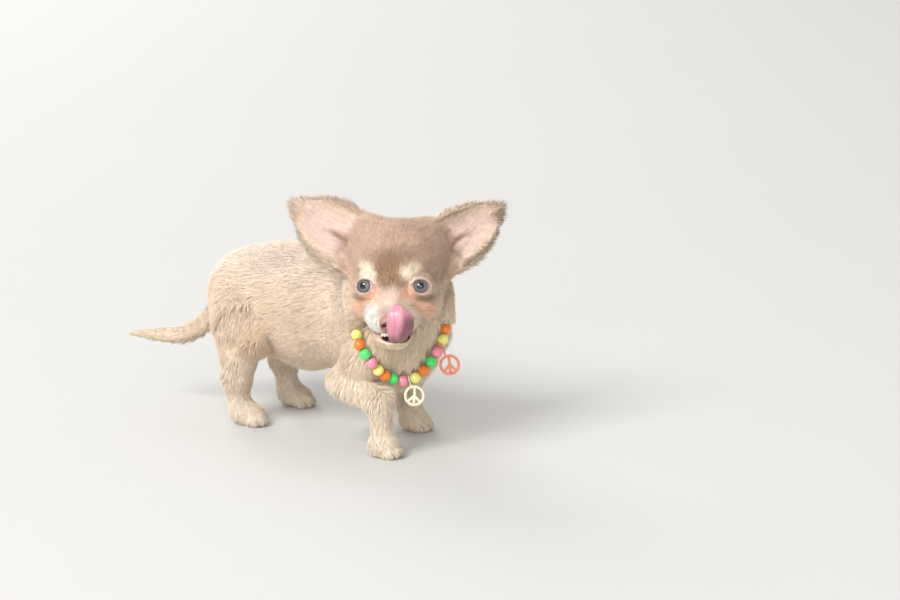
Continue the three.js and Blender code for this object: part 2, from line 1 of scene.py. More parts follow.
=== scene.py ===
import math
import bpy
import numpy as np
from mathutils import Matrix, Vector


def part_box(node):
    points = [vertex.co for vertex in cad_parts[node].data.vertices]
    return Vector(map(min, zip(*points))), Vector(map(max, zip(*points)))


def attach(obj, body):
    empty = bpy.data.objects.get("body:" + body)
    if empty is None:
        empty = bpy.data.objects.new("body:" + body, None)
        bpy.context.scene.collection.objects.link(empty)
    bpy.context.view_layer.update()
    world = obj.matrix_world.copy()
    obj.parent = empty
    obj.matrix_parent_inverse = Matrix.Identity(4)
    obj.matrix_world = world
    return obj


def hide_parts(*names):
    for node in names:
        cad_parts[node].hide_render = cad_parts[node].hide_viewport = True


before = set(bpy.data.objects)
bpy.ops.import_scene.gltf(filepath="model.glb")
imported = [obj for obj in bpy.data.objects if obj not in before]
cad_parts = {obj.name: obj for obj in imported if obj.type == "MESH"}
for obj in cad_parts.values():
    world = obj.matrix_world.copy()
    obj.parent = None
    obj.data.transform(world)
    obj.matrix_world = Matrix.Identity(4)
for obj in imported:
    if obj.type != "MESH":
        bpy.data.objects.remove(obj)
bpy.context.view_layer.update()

# A chihuahua puppy in mid-step, licking its nose, with a necklace of beads and two ring charms.
# Shapes are worked out in millimetres in the puppy's own frame: x from rump to chest, y to its
# left, z up from the floor. Points are columns: an array of 3 rows, one column for each point.
# inPart() turns them into metres in the frame of the CAD part.

draw = np.random.default_rng(2026)


# Small helpers for points and numbers

def column(v):
    return np.array(v, float).reshape(3, 1)


def dot(a, b):
    return (a * b).sum(0)


def length(a):
    return np.sqrt(dot(a, a))


def unit(a):
    return a / np.maximum(length(a), 1e-9)


def cross(a, b):
    return np.stack([a[1] * b[2] - a[2] * b[1], a[2] * b[0] - a[0] * b[2], a[0] * b[1] - a[1] * b[0]])


def mix(a, b, t):
    return a + (b - a) * t


def ease(low, high, t):  # 0 at low, 1 at high, smooth between them
    s = np.clip((t - low) / (high - low), 0, 1)
    return s * s * (3 - 2 * s)


def turned(yaw, pitch=0.0):
    y, p = math.radians(yaw), math.radians(pitch)
    aboutZ = np.array([[math.cos(y), -math.sin(y), 0], [math.sin(y), math.cos(y), 0], [0, 0, 1]])
    aboutY = np.array([[math.cos(p), 0, math.sin(p)], [0, 1, 0], [-math.sin(p), 0, math.cos(p)]])
    return aboutZ @ aboutY


def heading(x, y, z):  # three rows, from numbers or arrays
    return np.stack(np.broadcast_arrays(x, y, z))


def toLocal(place, p):
    return place["turn"].T @ (p - place["at"])


def toBody(place, p):
    return place["turn"] @ p + place["at"]


def wander(p, size, seed=0):  # smooth noise of three rows, about -1 to 1, with waves of that size
    waves = np.random.default_rng(seed)
    total = np.zeros((3, p.shape[1]))
    for octave in range(5):
        push = waves.normal(size=(3, 3)) * (2.2 + 0.9 * octave) / size
        total += np.sin(push @ p + waves.uniform(0, 6.28, (3, 1)))
    return total / 2.6


def curveThrough(points, count):  # a smooth line through points, evenly spaced
    points = np.hstack([column(p) for p in points])
    first, last = 2 * points[:, :1] - points[:, 1:2], 2 * points[:, -1:] - points[:, -2:-1]
    points = np.hstack([first, points, last])
    spans = points.shape[1] - 3
    fine = []
    for n in range(spans):
        a, b, c, d = [points[:, n + k:n + k + 1] for k in range(4)]
        t = np.linspace(0, 1, 24, endpoint=n == spans - 1)
        fine.append(0.5 * (2 * b + (c - a) * t + (2 * a - 5 * b + 4 * c - d) * t ** 2
                           + (3 * b - a - 3 * c + d) * t ** 3))
    fine = np.hstack(fine)
    run = np.concatenate([[0], np.cumsum(length(np.diff(fine, axis=1)))])
    even = np.linspace(0, run[-1], count)
    return np.stack([np.interp(even, run, row) for row in fine])


# The puppy's build

build = {
    "headAt": (63, -25, 131),
    "headYaw": -67,  # the face looks to the puppy's right
    "headPitch": -8,
    "chestAt": (44, -4, 0),
    "chestYaw": -20,
    "eyeAt": (22.8, 17.4, -17),  # left eye, in the head's frame
    "eyeRadius": 7.2,
    "noseAt": (49.5, 0, -37),
    "noseHalf": (6, 7, 5.4),
    "pawHeight": 7.2,
    "toeHalf": (4.6, 2.75, 3.9),
    "hindHalf": 27,  # half the distance between the hind legs
    "hindPaw": (13, 9.5, 8.6),
    "forePaw": (11.5, 9.5, 8.6),
}
sideOf = {"right": -1, "left": 1}
headPlace = {"at": column(build["headAt"]), "turn": turned(build["headYaw"], build["headPitch"])}
chestPlace = {"at": column(build["chestAt"]), "turn": turned(build["chestYaw"])}


def blob(at, half):
    at, half = column(at), column(half)

    def field(p):
        q = (p - at) / half
        near = np.sqrt(dot(q, q) + 1e-12)
        slope = np.sqrt(dot(q / half, q / half) + 1e-12 / half.max() ** 2)
        return near * (near - 1) / slope

    return field


def limb(a, b, radiusA, radiusB):
    a, b = column(a), column(b)
    d = b - a
    square = float((d * d).sum())

    def field(p):
        q = p - a
        t = np.clip(dot(q, d) / square, 0, 1)
        return length(q - t * d) - mix(radiusA, radiusB, t)

    return field


def meet(a, b, k):  # two surfaces that flow into each other within a width of k
    return np.minimum(a, b) - np.maximum(k - np.abs(a - b), 0) ** 2 / (4 * k)


def carve(a, b, k):  # what is in a and not in b, with a soft edge
    return -meet(-a, b, k)


def melt(k, *parts):
    def field(p):
        d = parts[0](p)
        for part in parts[1:]:
            d = meet(d, part(p), k)
        return d

    return field


def within(place, part):
    return lambda p: part(toLocal(place, p))


# Outline of trunk, head and legs, out to the tips of the coat

def pair(at, half):  # the same on the left and the right
    return blob(at, half), blob((at[0], -at[1], at[2]), half)


neckLine = [toBody(chestPlace, column((12, 0, 100))), toBody(headPlace, column((-12, 0, -6)))]
backPart = melt(
    14,
    blob((-58, 0, 82.5), (39, 33, 38)),
    blob((-38, 0, 88), (30, 25, 35.5)),
    blob((-16, 0, 81), (44, 35, 44)),
)
frontPart = within(chestPlace, melt(
    14,
    blob((-10, 0, 78.5), (42, 34, 45.5)),
    blob((18, 0, 73), (24, 25, 35)),
    blob((4, 17, 72), (20, 14, 32)),
    blob((4, -22, 76), (20, 14, 30)),
))
neckPart = limb(*neckLine, 31, 26)
trunkPart = melt(18, backPart, frontPart, neckPart)
temple, earBase, cheek = (-5, 13, 4.5), (-5, 19, 12), (8, 16.5, -27)
skullPart = melt(
    10,
    blob((-4, 0, 0), (33, 30, 26)),
    blob((10, 0, -4), (21, 27, 23)),
    *pair(temple, (20, 18, 18)),
    *pair(earBase, (15, 11, 13.5)),
    blob((-2, 0, -20), (27, 25, 20)),
    *pair(cheek, (19, 14, 16.5)),
)
muzzlePart = melt(5, blob((32, 0, -37), (19.5, 17, 11.5)), limb((20, 0, -20), (40, 0, -31), 9, 6.5))
chinPart = blob((27, 0, -49), (18, 13, 9))
facePart = within(headPlace, melt(17, skullPart, melt(4, muzzlePart, chinPart)))


def hindLeg(side, step):
    y = build["hindHalf"] * side
    hip, buttock = (-58, 20 * side, 78), (-66 + step * 0.2, 22 * side, 66)
    knee, hock, heel = (-47 + step * 0.3, y, 63), (-63 + step, y, 34), (-60 + step, y, 12)
    toes = (-54 + step, y, build["pawHeight"])
    return {"toes": toes, "paw": build["hindPaw"], "field": melt(
        7,
        limb(hip, knee, 24, 13),
        limb(buttock, hock, 17, 10),
        limb(knee, hock, 12, 9.5),
        limb(hock, heel, 9.5, 8.5),
        blob(toes, build["hindPaw"]),
    )}


def foreLeg(shoulder, elbow, wrist, toes):
    paw = (toes[0], toes[1], build["pawHeight"])
    line = curveThrough([shoulder, elbow, wrist, toes], 12)
    return {"toes": paw, "paw": build["forePaw"], "line": line, "field": melt(
        6,
        limb(shoulder, elbow, 18, 14),
        limb(elbow, wrist, 13, 9.5),
        limb(wrist, toes, 9.5, 8),
        blob(paw, build["forePaw"]),
    )}


legs = {
    "hind_right": hindLeg(-1, 0),
    "hind_left": hindLeg(1, 6),
    "fore_right": foreLeg((52, -33, 76), (34, -40, 47), (60, -46, 37), (64, -48, 9)),
    "fore_left": foreLeg((61, 16, 72), (49, 19, 48), (47, 16, 22), (53, 15, 9)),
}
tail = {
    "points": [(-78, 0, 86), (-96, -3, 66), (-114, -8, 53), (-134, -14, 50.5), (-152, -20, 50.5)],
    "coat": [14, 8, 7.2, 5.3, 2.5],  # radius out to the tips of the coat
    "flesh": [9.5, 5.4, 4.4, 3.2, 1.4],
    "stretches": 14,
}
tailLine = curveThrough(tail["points"], tail["stretches"] + 1)


def tailOf(radii):
    marks = np.linspace(0, len(radii) - 1, tail["stretches"] + 1)
    radii = np.interp(marks, np.arange(len(radii)), radii)
    return melt(1, *map(limb, tailLine.T, tailLine.T[1:], radii, radii[1:]))


tailCoat, tailFlesh = tailOf(tail["coat"]), tailOf(tail["flesh"])

# The part's frame: the CAD eyes give the way from the puppy's frame to it

def eyeMiddle(name):  # in the head's frame
    x, y, z = build["eyeAt"]
    return column((x, y * sideOf[name], z))


def middleOf(node):
    low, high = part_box(node)
    return column((low + high) / 2) * 1000


offset = sum(middleOf("eye_" + name) - toBody(headPlace, eyeMiddle(name)) for name in sideOf) / 2


def inPart(p):
    return (p + offset) / 1000


def fromPart(p):
    return p - offset


# Necklace, from the middles of the CAD beads

beadNames = ["bead_%02d" % (i + 1) for i in range(31)]
beadMiddles = np.hstack([fromPart(middleOf(name)) for name in beadNames])
necklace = {
    "beadWide": 7.6,
    "beadLong": 7.1,
    "hole": 1.1,
    "elastic": (0.80, 0.76, 0.70),  # its colour
    "channel": 4.3,  # groove in the skin round the string
    "collar": 4.9,  # radius of the fold of the ruff that hides the other beads
    "shown": (8, 21),  # first and last bead that lie bare; over the others the coat closes
}


def unseen(place):  # 1 at the beads that the ruff hides, 0 at the bare ones
    first, last = necklace["shown"]
    return ease(first - 0.3, first - 0.75, place) + ease(last + 0.3, last + 0.8, place)


def alongString(p):  # distance to the line through the beads, and how many beads along it that is
    best, place = np.full(p.shape[1], 1e9), np.zeros(p.shape[1])
    for i in range(beadMiddles.shape[1] - 1):
        a, b = beadMiddles[:, i:i + 1], beadMiddles[:, i + 1:i + 2]
        t = np.clip(dot(p - a, b - a) / dot(b - a, b - a), 0, 1)
        far = length(p - a - t * (b - a))
        place = np.where(far < best, i + t, place)
        best = np.minimum(best, far)
    return best, place


# Ears: v runs from root (0) to tip (1), u across, rise out of the open side

earWays = {
    "right": {"root": (-5, -26, 5), "along": (-0.1, -0.85, 0.53), "out": (0.97, -0.08, 0.2),
              "long": 57, "halfWidth": 24},
    "left": {"root": (-5, 26, 3.5), "along": (-0.12, 0.79, 0.6), "out": (0.93, 0.3, 0.05),
             "long": 55, "halfWidth": 22},
}
earSkin = {
    "half": 1.5,  # half of its thickness at the root
    "shorter": 3.0,  # the fringe makes up the rest of its length
    "narrower": 2.4,
    "from": -0.2,
}
for name, made in earWays.items():
    made["root"] = column(made["root"])
    made["along"] = unit(column(made["along"]))
    out = column(made["out"])
    made["out"] = unit(out - made["along"] * dot(out, made["along"]))
    made["wide"] = cross(made["along"], made["out"]) * sideOf[name]


def earOutline(v):
    v = np.clip(v, 0, 1)
    return (1 - v ** 2.6) ** 0.75 * (0.86 + 0.14 * np.minimum(1, v / 0.3))


def earCup(u, v):
    return 9 * (1 - v) ** 0.7 * u * u + 3 * v * v - 2.5 * (1 - v)


def earPlace(name, h):  # u, v, rise and w, which is u in millimetres, of points in the head's frame
    made = earWays[name]
    q = h - made["root"]
    v = dot(made["along"], q) / made["long"]
    w = dot(made["wide"], q)
    wide = np.maximum(made["halfWidth"] * earOutline(v), 2.0)
    u = np.clip(w / wide, -1.3, 1.3)
    rise = dot(made["out"], q) - earCup(u, np.clip(v, 0, 1))
    return u, v, rise, w


def ridgeAt(across, half, risen):  # 1 on the crest of a fold, 0 a few times its half width away
    return np.exp(-(across / half) ** 2) * risen


def earField(name, h):
    u, v, rise, w = earPlace(name, h)
    vIn = np.clip(v, 0, 1)
    long, wide = earWays[name]["long"], earWays[name]["halfWidth"]
    slope = 18 * (1 - vIn) ** 0.7 * u / wide
    half = earSkin["half"] * (1 - 0.35 * vIn)
    ridge = 1.3 * ridgeAt(u + 0.28 - 0.5 * vIn, 0.13, ease(0.02, 0.12, vIn) * ease(0.62, 0.3, vIn))
    ridge += 1.1 * ridgeAt(u - 0.34 + 0.4 * vIn, 0.12, ease(0.0, 0.1, vIn) * ease(0.5, 0.25, vIn))
    ridge += 0.9 * ridgeAt(np.abs(u) - 0.86, 0.1, ease(0.9, 0.6, vIn))
    inner = (rise - ridge) / np.sqrt(1 + slope ** 2) - half
    outer = -rise / np.sqrt(1 + slope ** 2) - half
    halfWidth = wide * earOutline(v * long / (long - earSkin["shorter"])) - earSkin["narrower"]
    edge = np.abs(w) - np.maximum(halfWidth, -8)
    end = (earSkin["from"] - v) * long
    beyond = (v - 1) * long + earSkin["shorter"]
    sheet = -meet(-np.maximum(inner, outer), -edge * 0.8, 1.2)
    return np.maximum(sheet, np.maximum(end, beyond))


# Depth of the coat over the skin, which is also the height that its tufts reach

coat = {
    "body": 5.0,
    "ruff": 5.6,
    "thigh": 4.4,
    "shank": 2.8,
    "paw": 1.7,
    "crown": 3.0,
    "cheek": 3.4,
    "muzzle": 1.5,
    "bridge": 1.1,
    "eye": 0.9,
    "overBeads": 2.3,
}


def eyeNear(h):
    x, y, z = build["eyeAt"]
    return np.sqrt((h[0] - x) ** 2 + (np.abs(h[1]) - y) ** 2 + (h[2] - z) ** 2)


def headDepth(h):
    depth = mix(coat["crown"], coat["cheek"], ease(-14, -34, h[2]) * ease(26, 6, h[0]))
    depth = mix(depth, coat["ruff"], ease(-8, -30, h[0]) * ease(20, -10, h[2]))
    depth = mix(depth, coat["muzzle"], ease(22, 34, h[0]) * ease(-16, -28, h[2]))
    depth = mix(depth, coat["bridge"], ease(9, 3, np.abs(h[1])) * ease(18, 30, h[0]) * ease(-8, -18, h[2]))
    return mix(coat["eye"], depth, ease(6.5, 13, eyeNear(h)))


def legDepth(z):
    depth = mix(coat["thigh"], coat["body"], ease(62, 82, z))
    depth = mix(coat["shank"], depth, ease(30, 58, z))
    return mix(coat["paw"], depth, ease(12, 26, z))


def coatDepth(p, parts):
    body = mix(coat["body"], coat["ruff"], ease(6, -6, parts["neck"]) * ease(70, 95, p[2]))
    onHead = ease(-7, 7, np.minimum(parts["trunk"], parts["neck"] + 4) - parts["face"])
    depth = mix(body, headDepth(toLocal(headPlace, p)), onHead)
    leg = np.minimum.reduce([parts[name] for name in legs])
    onLeg = ease(-8, 8, parts["trunk"] - leg) * (1 - onHead)
    return mix(depth, legDepth(p[2]), onLeg)


def partsOf(p):
    parts = {"trunk": trunkPart(p), "neck": neckPart(p), "face": facePart(p)}
    for name, leg in legs.items():
        parts[name] = leg["field"](p)
    return parts


# Face: lids round the eyes, lips and the open mouth

face = {
    "lid": 1.25,  # thickness of a lid over the eyeball
    "openWide": 5.2,
    "openHigh": 4.3,
    "corner": 2.3,  # how far the inner corner runs towards the nose
    "opens": {"right": (0.925, -0.34, 0.16), "left": (0.955, 0.14, 0.25)},  # ways the lids open
    "gaze": {"right": (0.902, -0.391, 0.184), "left": (0.949, 0.055, 0.31)},
    "lipHeight": -45.6,
    "mouthAt": (42, 3.5, -47.4),
    "mouthHalf": (9, 10, 3.6),
    "lowerLip": [(31, -12, -47.6), (38.5, -9.5, -49.6), (43.6, -1, -51.0), (42.5, 8, -50.4), (34, 12.5, -48)],
    "lipRadius": 1.7,
}


def eyeAxes(name):
    front = unit(column(face["opens"][name]))
    across = unit(cross(column((0, 0, 1)), front)) * sideOf[name]  # away from the nose
    return front, across, cross(front, across) * sideOf[name]


def eyeOpening(name, h):  # distance to the almond between the lids, along the eye's own way out
    depth, s, t = [dot(h - eyeMiddle(name), axis) for axis in eyeAxes(name)]
    s = s + 0.3
    wide = face["openWide"] + np.where(s < 0, face["corner"] * ease(4.2, 0.0, np.abs(t + 0.5)), 0)
    high = face["openHigh"] * 0.97
    t = t + 0.07 * s
    near = np.sqrt((s / wide) ** 2 + (t / high) ** 2 + 1e-9)
    return np.maximum((near - 1) * face["openHigh"] * 0.8, 1.5 - depth)


mouthHollow = blob(face["mouthAt"], face["mouthHalf"])


def lowerLip(radius, h):  # distance to a lip of that radius
    return np.minimum.reduce([limb(a, b, radius, radius)(h)
                              for a, b in zip(face["lowerLip"], face["lowerLip"][1:])])


def lipLine(x):  # height of the line between the lips, which curls up to its corner
    return face["lipHeight"] + 0.020 * (np.minimum(x, 31) - 31) ** 2


def headDetail(d, h):
    for name in sideOf:
        ball = length(h - eyeMiddle(name))
        fold = 0.35 * np.exp(-((ball - 10.6) / 1.0) ** 2) * ease(-2, 4, h[2] - build["eyeAt"][2])
        d = meet(d, ball - build["eyeRadius"] - face["lid"], 3.0) + fold
        d = carve(d, eyeOpening(name, h), 0.8)
        d = np.where(ball < build["eyeRadius"] - 0.4, np.maximum(d, 0.3), d)
    x, y, z = h
    seam = np.exp(-((z - lipLine(x)) / 0.75) ** 2)
    d = d + 1.2 * seam * ease(14, 22, x)
    d = d + 0.5 * np.exp(-(y / 0.9) ** 2) * ease(40, 44, x) * ease(-40, -44, z)
    brow = np.exp(-(((x - 25) / 7) ** 2 + ((np.abs(y) - 14.5) / 6.5) ** 2 + ((z + 6.5) / 5) ** 2))
    d = d - 0.9 * brow
    for a, b in zip(face["lowerLip"], face["lowerLip"][1:]):
        d = meet(d, limb(a, b, face["lipRadius"], face["lipRadius"])(h), 1.5)
    return carve(d, mouthHollow(h), 1.2)


def toesOf(leg):  # middles of the four toes of a paw, from its outer side in
    x, y, z = leg["toes"]
    reach = leg["paw"][0]
    spots = [(0.42, -0.56), (0.66, -0.2), (0.66, 0.2), (0.42, 0.56)]
    return [(x + reach * f, y + leg["paw"][1] * s, z - 2.4) for f, s in spots]


flow = {  # widths within which parts of the skin flow into each other
    "face": 10,
    "leg": 9,
    "tail": 6,
    "ear": 8,
    "toe": 1.1,
    "channel": 1.5,
    "collar": 3.5,
    "sole": 1.2,
}
soleHeight = 0.25  # of the skin over the floor
headReach = column((75, 95, 80))  # half size of the box that holds face and ears
pawReach = 26  # distance that the toes of a paw lie within


def withToes(d, p):
    for leg in legs.values():
        near = length(p - column(leg["toes"])) < pawReach
        for toe in toesOf(leg):
            d[near] = meet(d[near], blob(toe, build["toeHalf"])(p[:, near]), flow["toe"])
    return d


def skinField(p):
    parts = partsOf(p)
    d = meet(parts["trunk"], parts["face"], flow["face"])
    for name in legs:
        d = meet(d, parts[name], flow["leg"])
    d = d + coatDepth(p, parts)
    d = meet(d, tailFlesh(p), flow["tail"])
    h = toLocal(headPlace, p)
    byFace = (np.abs(h) < headReach).all(0)
    q = h[:, byFace]
    e = headDetail(d[byFace], q)
    for name in earWays:
        e = meet(e, earField(name, q), flow["ear"])
    d[byFace] = e
    d = withToes(d, p)
    byString = (np.abs(d) < 9) & (p[0] > 25) & (p[2] > 30)
    far, place = alongString(p[:, byString])
    hidden = unseen(place)
    bare = carve(d[byString], far - mix(necklace["channel"], -3, hidden), flow["channel"])
    d[byString] = meet(bare, far - mix(-5, necklace["collar"], hidden), flow["collar"])
    return carve(d, p[2] - soleHeight, flow["sole"])


# Surface of a field, as quads: a vertex in each cell that it crosses, then drawn onto the field

def slopeOf(field, p, reach=0.05):
    corners = [column(at) for at in ((1, 1, 1), (1, -1, -1), (-1, 1, -1), (-1, -1, 1))]
    return sum(corner * field(p + reach * corner) for corner in corners) / (4 * reach)


def stepped(*stops):  # steps along an axis: start, then (end, step) pairs, in whole blocks of cells
    marks = [stops[0]]
    for end, step in stops[1:]:
        start = marks[-1]
        count = max(1, round((end - start) / step))
        marks.extend([start + (end - start) * (i + 1) / count for i in range(count)])
    while (len(marks) - 1) % 4:
        marks.append(2 * marks[-1] - marks[-2])
    return np.array(marks)


cubeCorners = [(a, b, c) for a in (0, 1) for b in (0, 1) for c in (0, 1)]


def cornersOf(grid):  # values at the eight corners of every cell
    x, y, z = [size - 1 for size in grid.shape]
    return [grid[a:x + a, b:y + b, c:z + c] for a, b, c in cubeCorners]


def surfaceOf(field, axes, block=4):
    shape = [len(axis) for axis in axes]
    coarse = np.meshgrid(*[axis[::block] for axis in axes], indexing="ij")
    rough = field(np.stack([c.ravel() for c in coarse])).reshape(coarse[0].shape)
    widest = math.sqrt(sum(float(np.diff(axis[::block]).max()) ** 2 for axis in axes))
    near = np.minimum.reduce([np.abs(c) for c in cornersOf(rough)]) < 0.85 * widest
    value = np.full(shape, 1.0, np.float32)
    wanted = np.zeros(shape, bool)
    grown = rough[:-1, :-1, :-1]
    for axis in range(3):
        near = np.repeat(near, block, axis)
        grown = np.repeat(grown, block, axis)
    value[:-1, :-1, :-1] = grown
    wanted[:-1, :-1, :-1] = near
    for axis in range(3):
        wanted |= np.roll(wanted, 1, axis)
    i, j, k = np.nonzero(wanted)
    exact = np.empty(len(i), np.float32)
    for start in range(0, len(i), 400000):
        part = slice(start, start + 400000)
        exact[part] = field(np.stack([axes[0][i[part]], axes[1][j[part]], axes[2][k[part]]]))
    value[i, j, k] = exact
    value = np.where(value == 0, np.float32(1e-5), value)
    solid = value < 0
    count = sum(c.astype(np.int8) for c in cornersOf(solid))
    cell = np.nonzero((count > 0) & (count < 8))
    number = np.full([s - 1 for s in shape], -1, np.int64)
    number[cell] = np.arange(len(cell[0]))
    total = np.zeros((3, len(cell[0])))
    crossings = np.zeros(len(cell[0]))
    for a in cubeCorners:
        for b in cubeCorners:
            if a >= b or sum(abs(u - v) for u, v in zip(a, b)) != 1:
                continue
            va = value[cell[0] + a[0], cell[1] + a[1], cell[2] + a[2]]
            vb = value[cell[0] + b[0], cell[1] + b[1], cell[2] + b[2]]
            cut = (va < 0) != (vb < 0)
            t = np.where(cut, va / np.where(cut, va - vb, 1), 0)
            for axis in range(3):
                total[axis] += np.where(cut, mix(a[axis], b[axis], t), 0)
            crossings += cut
    total /= crossings
    places = np.stack([axis[c] + (axis[c + 1] - axis[c]) * total[n]
                       for n, (axis, c) in enumerate(zip(axes, cell))])
    quads = []
    around = {0: [(0, 1, 1), (0, 0, 1), (0, 0, 0), (0, 1, 0)],
              1: [(1, 0, 1), (1, 0, 0), (0, 0, 0), (0, 0, 1)],
              2: [(1, 1, 0), (0, 1, 0), (0, 0, 0), (1, 0, 0)]}
    for axis in range(3):
        ahead = np.roll(solid, -1, axis)
        changed = solid != ahead
        changed[tuple(-1 if n == axis else slice(None) for n in range(3))] = False
        i, j, k = np.nonzero(changed)
        inner = (i > 0) & (j > 0) & (k > 0)
        inner &= (i < shape[0] - 1) & (j < shape[1] - 1) & (k < shape[2] - 1)
        i, j, k = i[inner], j[inner], k[inner]
        ring = np.stack([number[i - a, j - b, k - c] for a, b, c in around[axis]], 1)
        facingIn = ~solid[i, j, k]
        ring[facingIn] = ring[facingIn][:, ::-1]
        quads.append(ring)
    quads = np.concatenate(quads)
    for again in range(2):
        slope = slopeOf(field, places)
        step = field(places) / np.maximum(dot(slope, slope), 0.25)
        places = places - slope * np.clip(step, -0.35, 0.35)
    return places, quads


# Meshes

def addMesh(name, places, faces, smooth=True):  # places in the puppy's frame; faces all of one size
    mesh = bpy.data.meshes.new(name)
    faces = np.asarray(faces)
    sides = faces.shape[1]
    mesh.vertices.add(places.shape[1])
    mesh.vertices.foreach_set("co", inPart(places).T.astype(np.float32).ravel())
    mesh.loops.add(faces.size)
    mesh.loops.foreach_set("vertex_index", faces.astype(np.int32).ravel())
    mesh.polygons.add(len(faces))
    mesh.polygons.foreach_set("loop_start", np.arange(0, faces.size, sides, dtype=np.int32))
    mesh.polygons.foreach_set("loop_total", np.full(len(faces), sides, np.int32))
    mesh.polygons.foreach_set("use_smooth", np.full(len(faces), smooth))
    mesh.update(calc_edges=True)
    thing = bpy.data.objects.new(name, mesh)
    bpy.context.scene.collection.objects.link(thing)
    return thing


def tintMesh(thing, tints):  # a colour for each vertex, three rows
    layer = thing.data.color_attributes.new("tint", "FLOAT_COLOR", "POINT")
    rows = np.ones((tints.shape[1], 4), np.float32)
    rows[:, :3] = tints.T
    layer.data.foreach_set("color", rows.ravel())


# Markings, which skin and coat share, with painted shade inside the mouth, along the lips, in the creases of
# the ears and in bands under the eyes. Colours are linear

shades = {
    "fawn": (0.83, 0.645, 0.485),  # back and flanks
    "frost": (0.90, 0.755, 0.64),  # pale tips along the spine
    "warm": (0.69, 0.475, 0.315),  # folds of thigh and flank
    "cream": (0.93, 0.785, 0.64),
    "taupe": (0.33, 0.195, 0.115),  # wedge between the brows, and painted shade in the bands under the eyes
    "crown": (0.61, 0.415, 0.31),
    "brow": (1.0, 0.825, 0.63),
    "apricot": (1.0, 0.56, 0.37),  # under the eyes and on the cheeks
    "white": (1.0, 0.93, 0.84),
    "bridge": (0.78, 0.595, 0.49),
    "jaw": (0.60, 0.42, 0.28),
    "bib": (0.96, 0.77, 0.55),
    "lid": (0.8, 0.61, 0.53),
    "lidRim": (0.3, 0.205, 0.18),
    "corner": (0.86, 0.63, 0.58),
    "earPink": (0.74, 0.535, 0.47),
    "earEdge": (0.88, 0.7, 0.53),
    "earRim": (0.6, 0.44, 0.325),
    # fold: painted shade for creases, along the line between the lips and in the folds and root of the ears
    "fold": (0.36, 0.21, 0.165),
    "lip": (0.8, 0.46, 0.42),
    # mouth: painted shade inside the open mouth
    "mouth": (0.12, 0.055, 0.05),
    "belly": (0.85, 0.69, 0.53),
    "paleLeg": (0.97, 0.80, 0.62),  # forelegs
}
shades = {name: column(shade) for name, shade in shades.items()}


def patch(h, at, half, soft):  # 1 within an egg shape, 0 outside it
    q = (h - column(at)) / column(half)
    return ease(1 + soft, 1 - soft, length(q))


# Marks of the face, in the head's frame: shade, middle, half size, softness of the edge and strength
faceMarks = [
    ("taupe", (30, -2.5, -10), (14, 8.0, 9), 0.5, 0.9),
    ("taupe", (30, -2.5, -15), (14, 4.5, 7), 0.5, 0.5),
    ("taupe", (28, -2, 0), (12, 14, 5.5), 0.6, 0.55),
    ("bridge", (36, -1, -25), (13, 7.5, 7.5), 0.5, 1.0),
    ("apricot", (27, -12.5, -24), (10, 6.5, 4.6), 0.55, 1.0),
    ("apricot", (21, -21, -30.5), (10, 7.5, 5.6), 0.6, 0.8),
    ("apricot", (31, 8, -22.6), (10, 5.2, 4.2), 0.55, 0.9),
    ("apricot", (25, 17.5, -31), (10, 6.5, 5.4), 0.6, 0.9),
    ("white", (40, -11.5, -36.5), (14, 7.2, 9.5), 0.4, 1.0),
    ("white", (31, -10.5, -30.5), (8, 5, 4.5), 0.6, 0.6),
    ("brow", (40, 11.5, -37.5), (13, 5.5, 7.5), 0.5, 0.9),
    ("cream", (37, 7.5, -27.5), (8, 3.6, 3.4), 0.5, 0.5),
    ("bib", (30, 0, -53), (19, 13, 7), 0.35, 1.0),
    ("brow", (25, -16.6, -8.2), (10, 4.9, 4.2), 0.5, 0.95),
    ("brow", (26, -12.8, -10.6), (9, 3.6, 2.8), 0.5, 0.8),
    ("brow", (28, 8.4, -9.0), (9, 4.8, 4.6), 0.5, 1.0),
    ("brow", (27, 12.4, -6.4), (9, 3.6, 3.0), 0.5, 0.55),
    # painted shade: the two narrow taupe bands under the eyes
    ("taupe", (24, -21, -24.8), (9, 6.5, 1.9), 0.6, 0.7),
    ("taupe", (27, 18, -23.2), (9, 7.5, 2.6), 0.6, 0.8),
]


def headTint(h):
    tint = mix(shades["crown"], shades["fawn"], ease(6, -22, h[0]))
    tint = mix(tint, shades["fawn"], ease(-12, -26, h[2]) * ease(34, 18, h[0]) * 0.8)
    tint = mix(tint, shades["jaw"], ease(-30, -44, h[2]) * ease(30, 14, h[0]))
    for name, at, half, soft, share in faceMarks:
        tint = mix(tint, shades[name], patch(h, at, half, soft) * share)
    return tint


def eyeTint(tint, h):
    for name in sideOf:
        q = h - eyeMiddle(name)
        across, up = eyeAxes(name)[1:]
        gone = eyeOpening(name, h)
        close = ease(12.5, 9.5, length(q))
        above = ease(0.5, 2.5, dot(q, up))
        tint = mix(tint, shades["lid"], ease(2.3, 1.1, gone) * close * mix(0.8, 0.35, above))
        tint = mix(tint, shades["lidRim"], ease(mix(0.8, 1.3, above), 0.35, gone) * close)
        inCorner = ease(-4.4, -5.8, dot(q, across)) * ease(1.6, 0.6, gone) * close
        tint = mix(tint, shades["corner"], inCorner)
    return tint


def mouthTint(tint, h):
    pink = ease(1.1, 0.2, lowerLip(1.1, h)) * ease(-52.4, -51.0, h[2]) * ease(4, -3, h[1])
    tint = mix(tint, shades["lip"], pink * ease(-11.5, -8, h[1]))
    # painted shade inside the open mouth
    tint = mix(tint, shades["mouth"], ease(0.7, -0.1, mouthHollow(h)) * ease(-51.5, -49.6, h[2]))
    # painted shade along the line between the lips
    seam = np.abs(h[2] - lipLine(h[0]))
    return mix(tint, shades["fold"], ease(0.9, 0.3, seam) * ease(18, 24, h[0]) * ease(46, 42, h[0]) * 0.75)


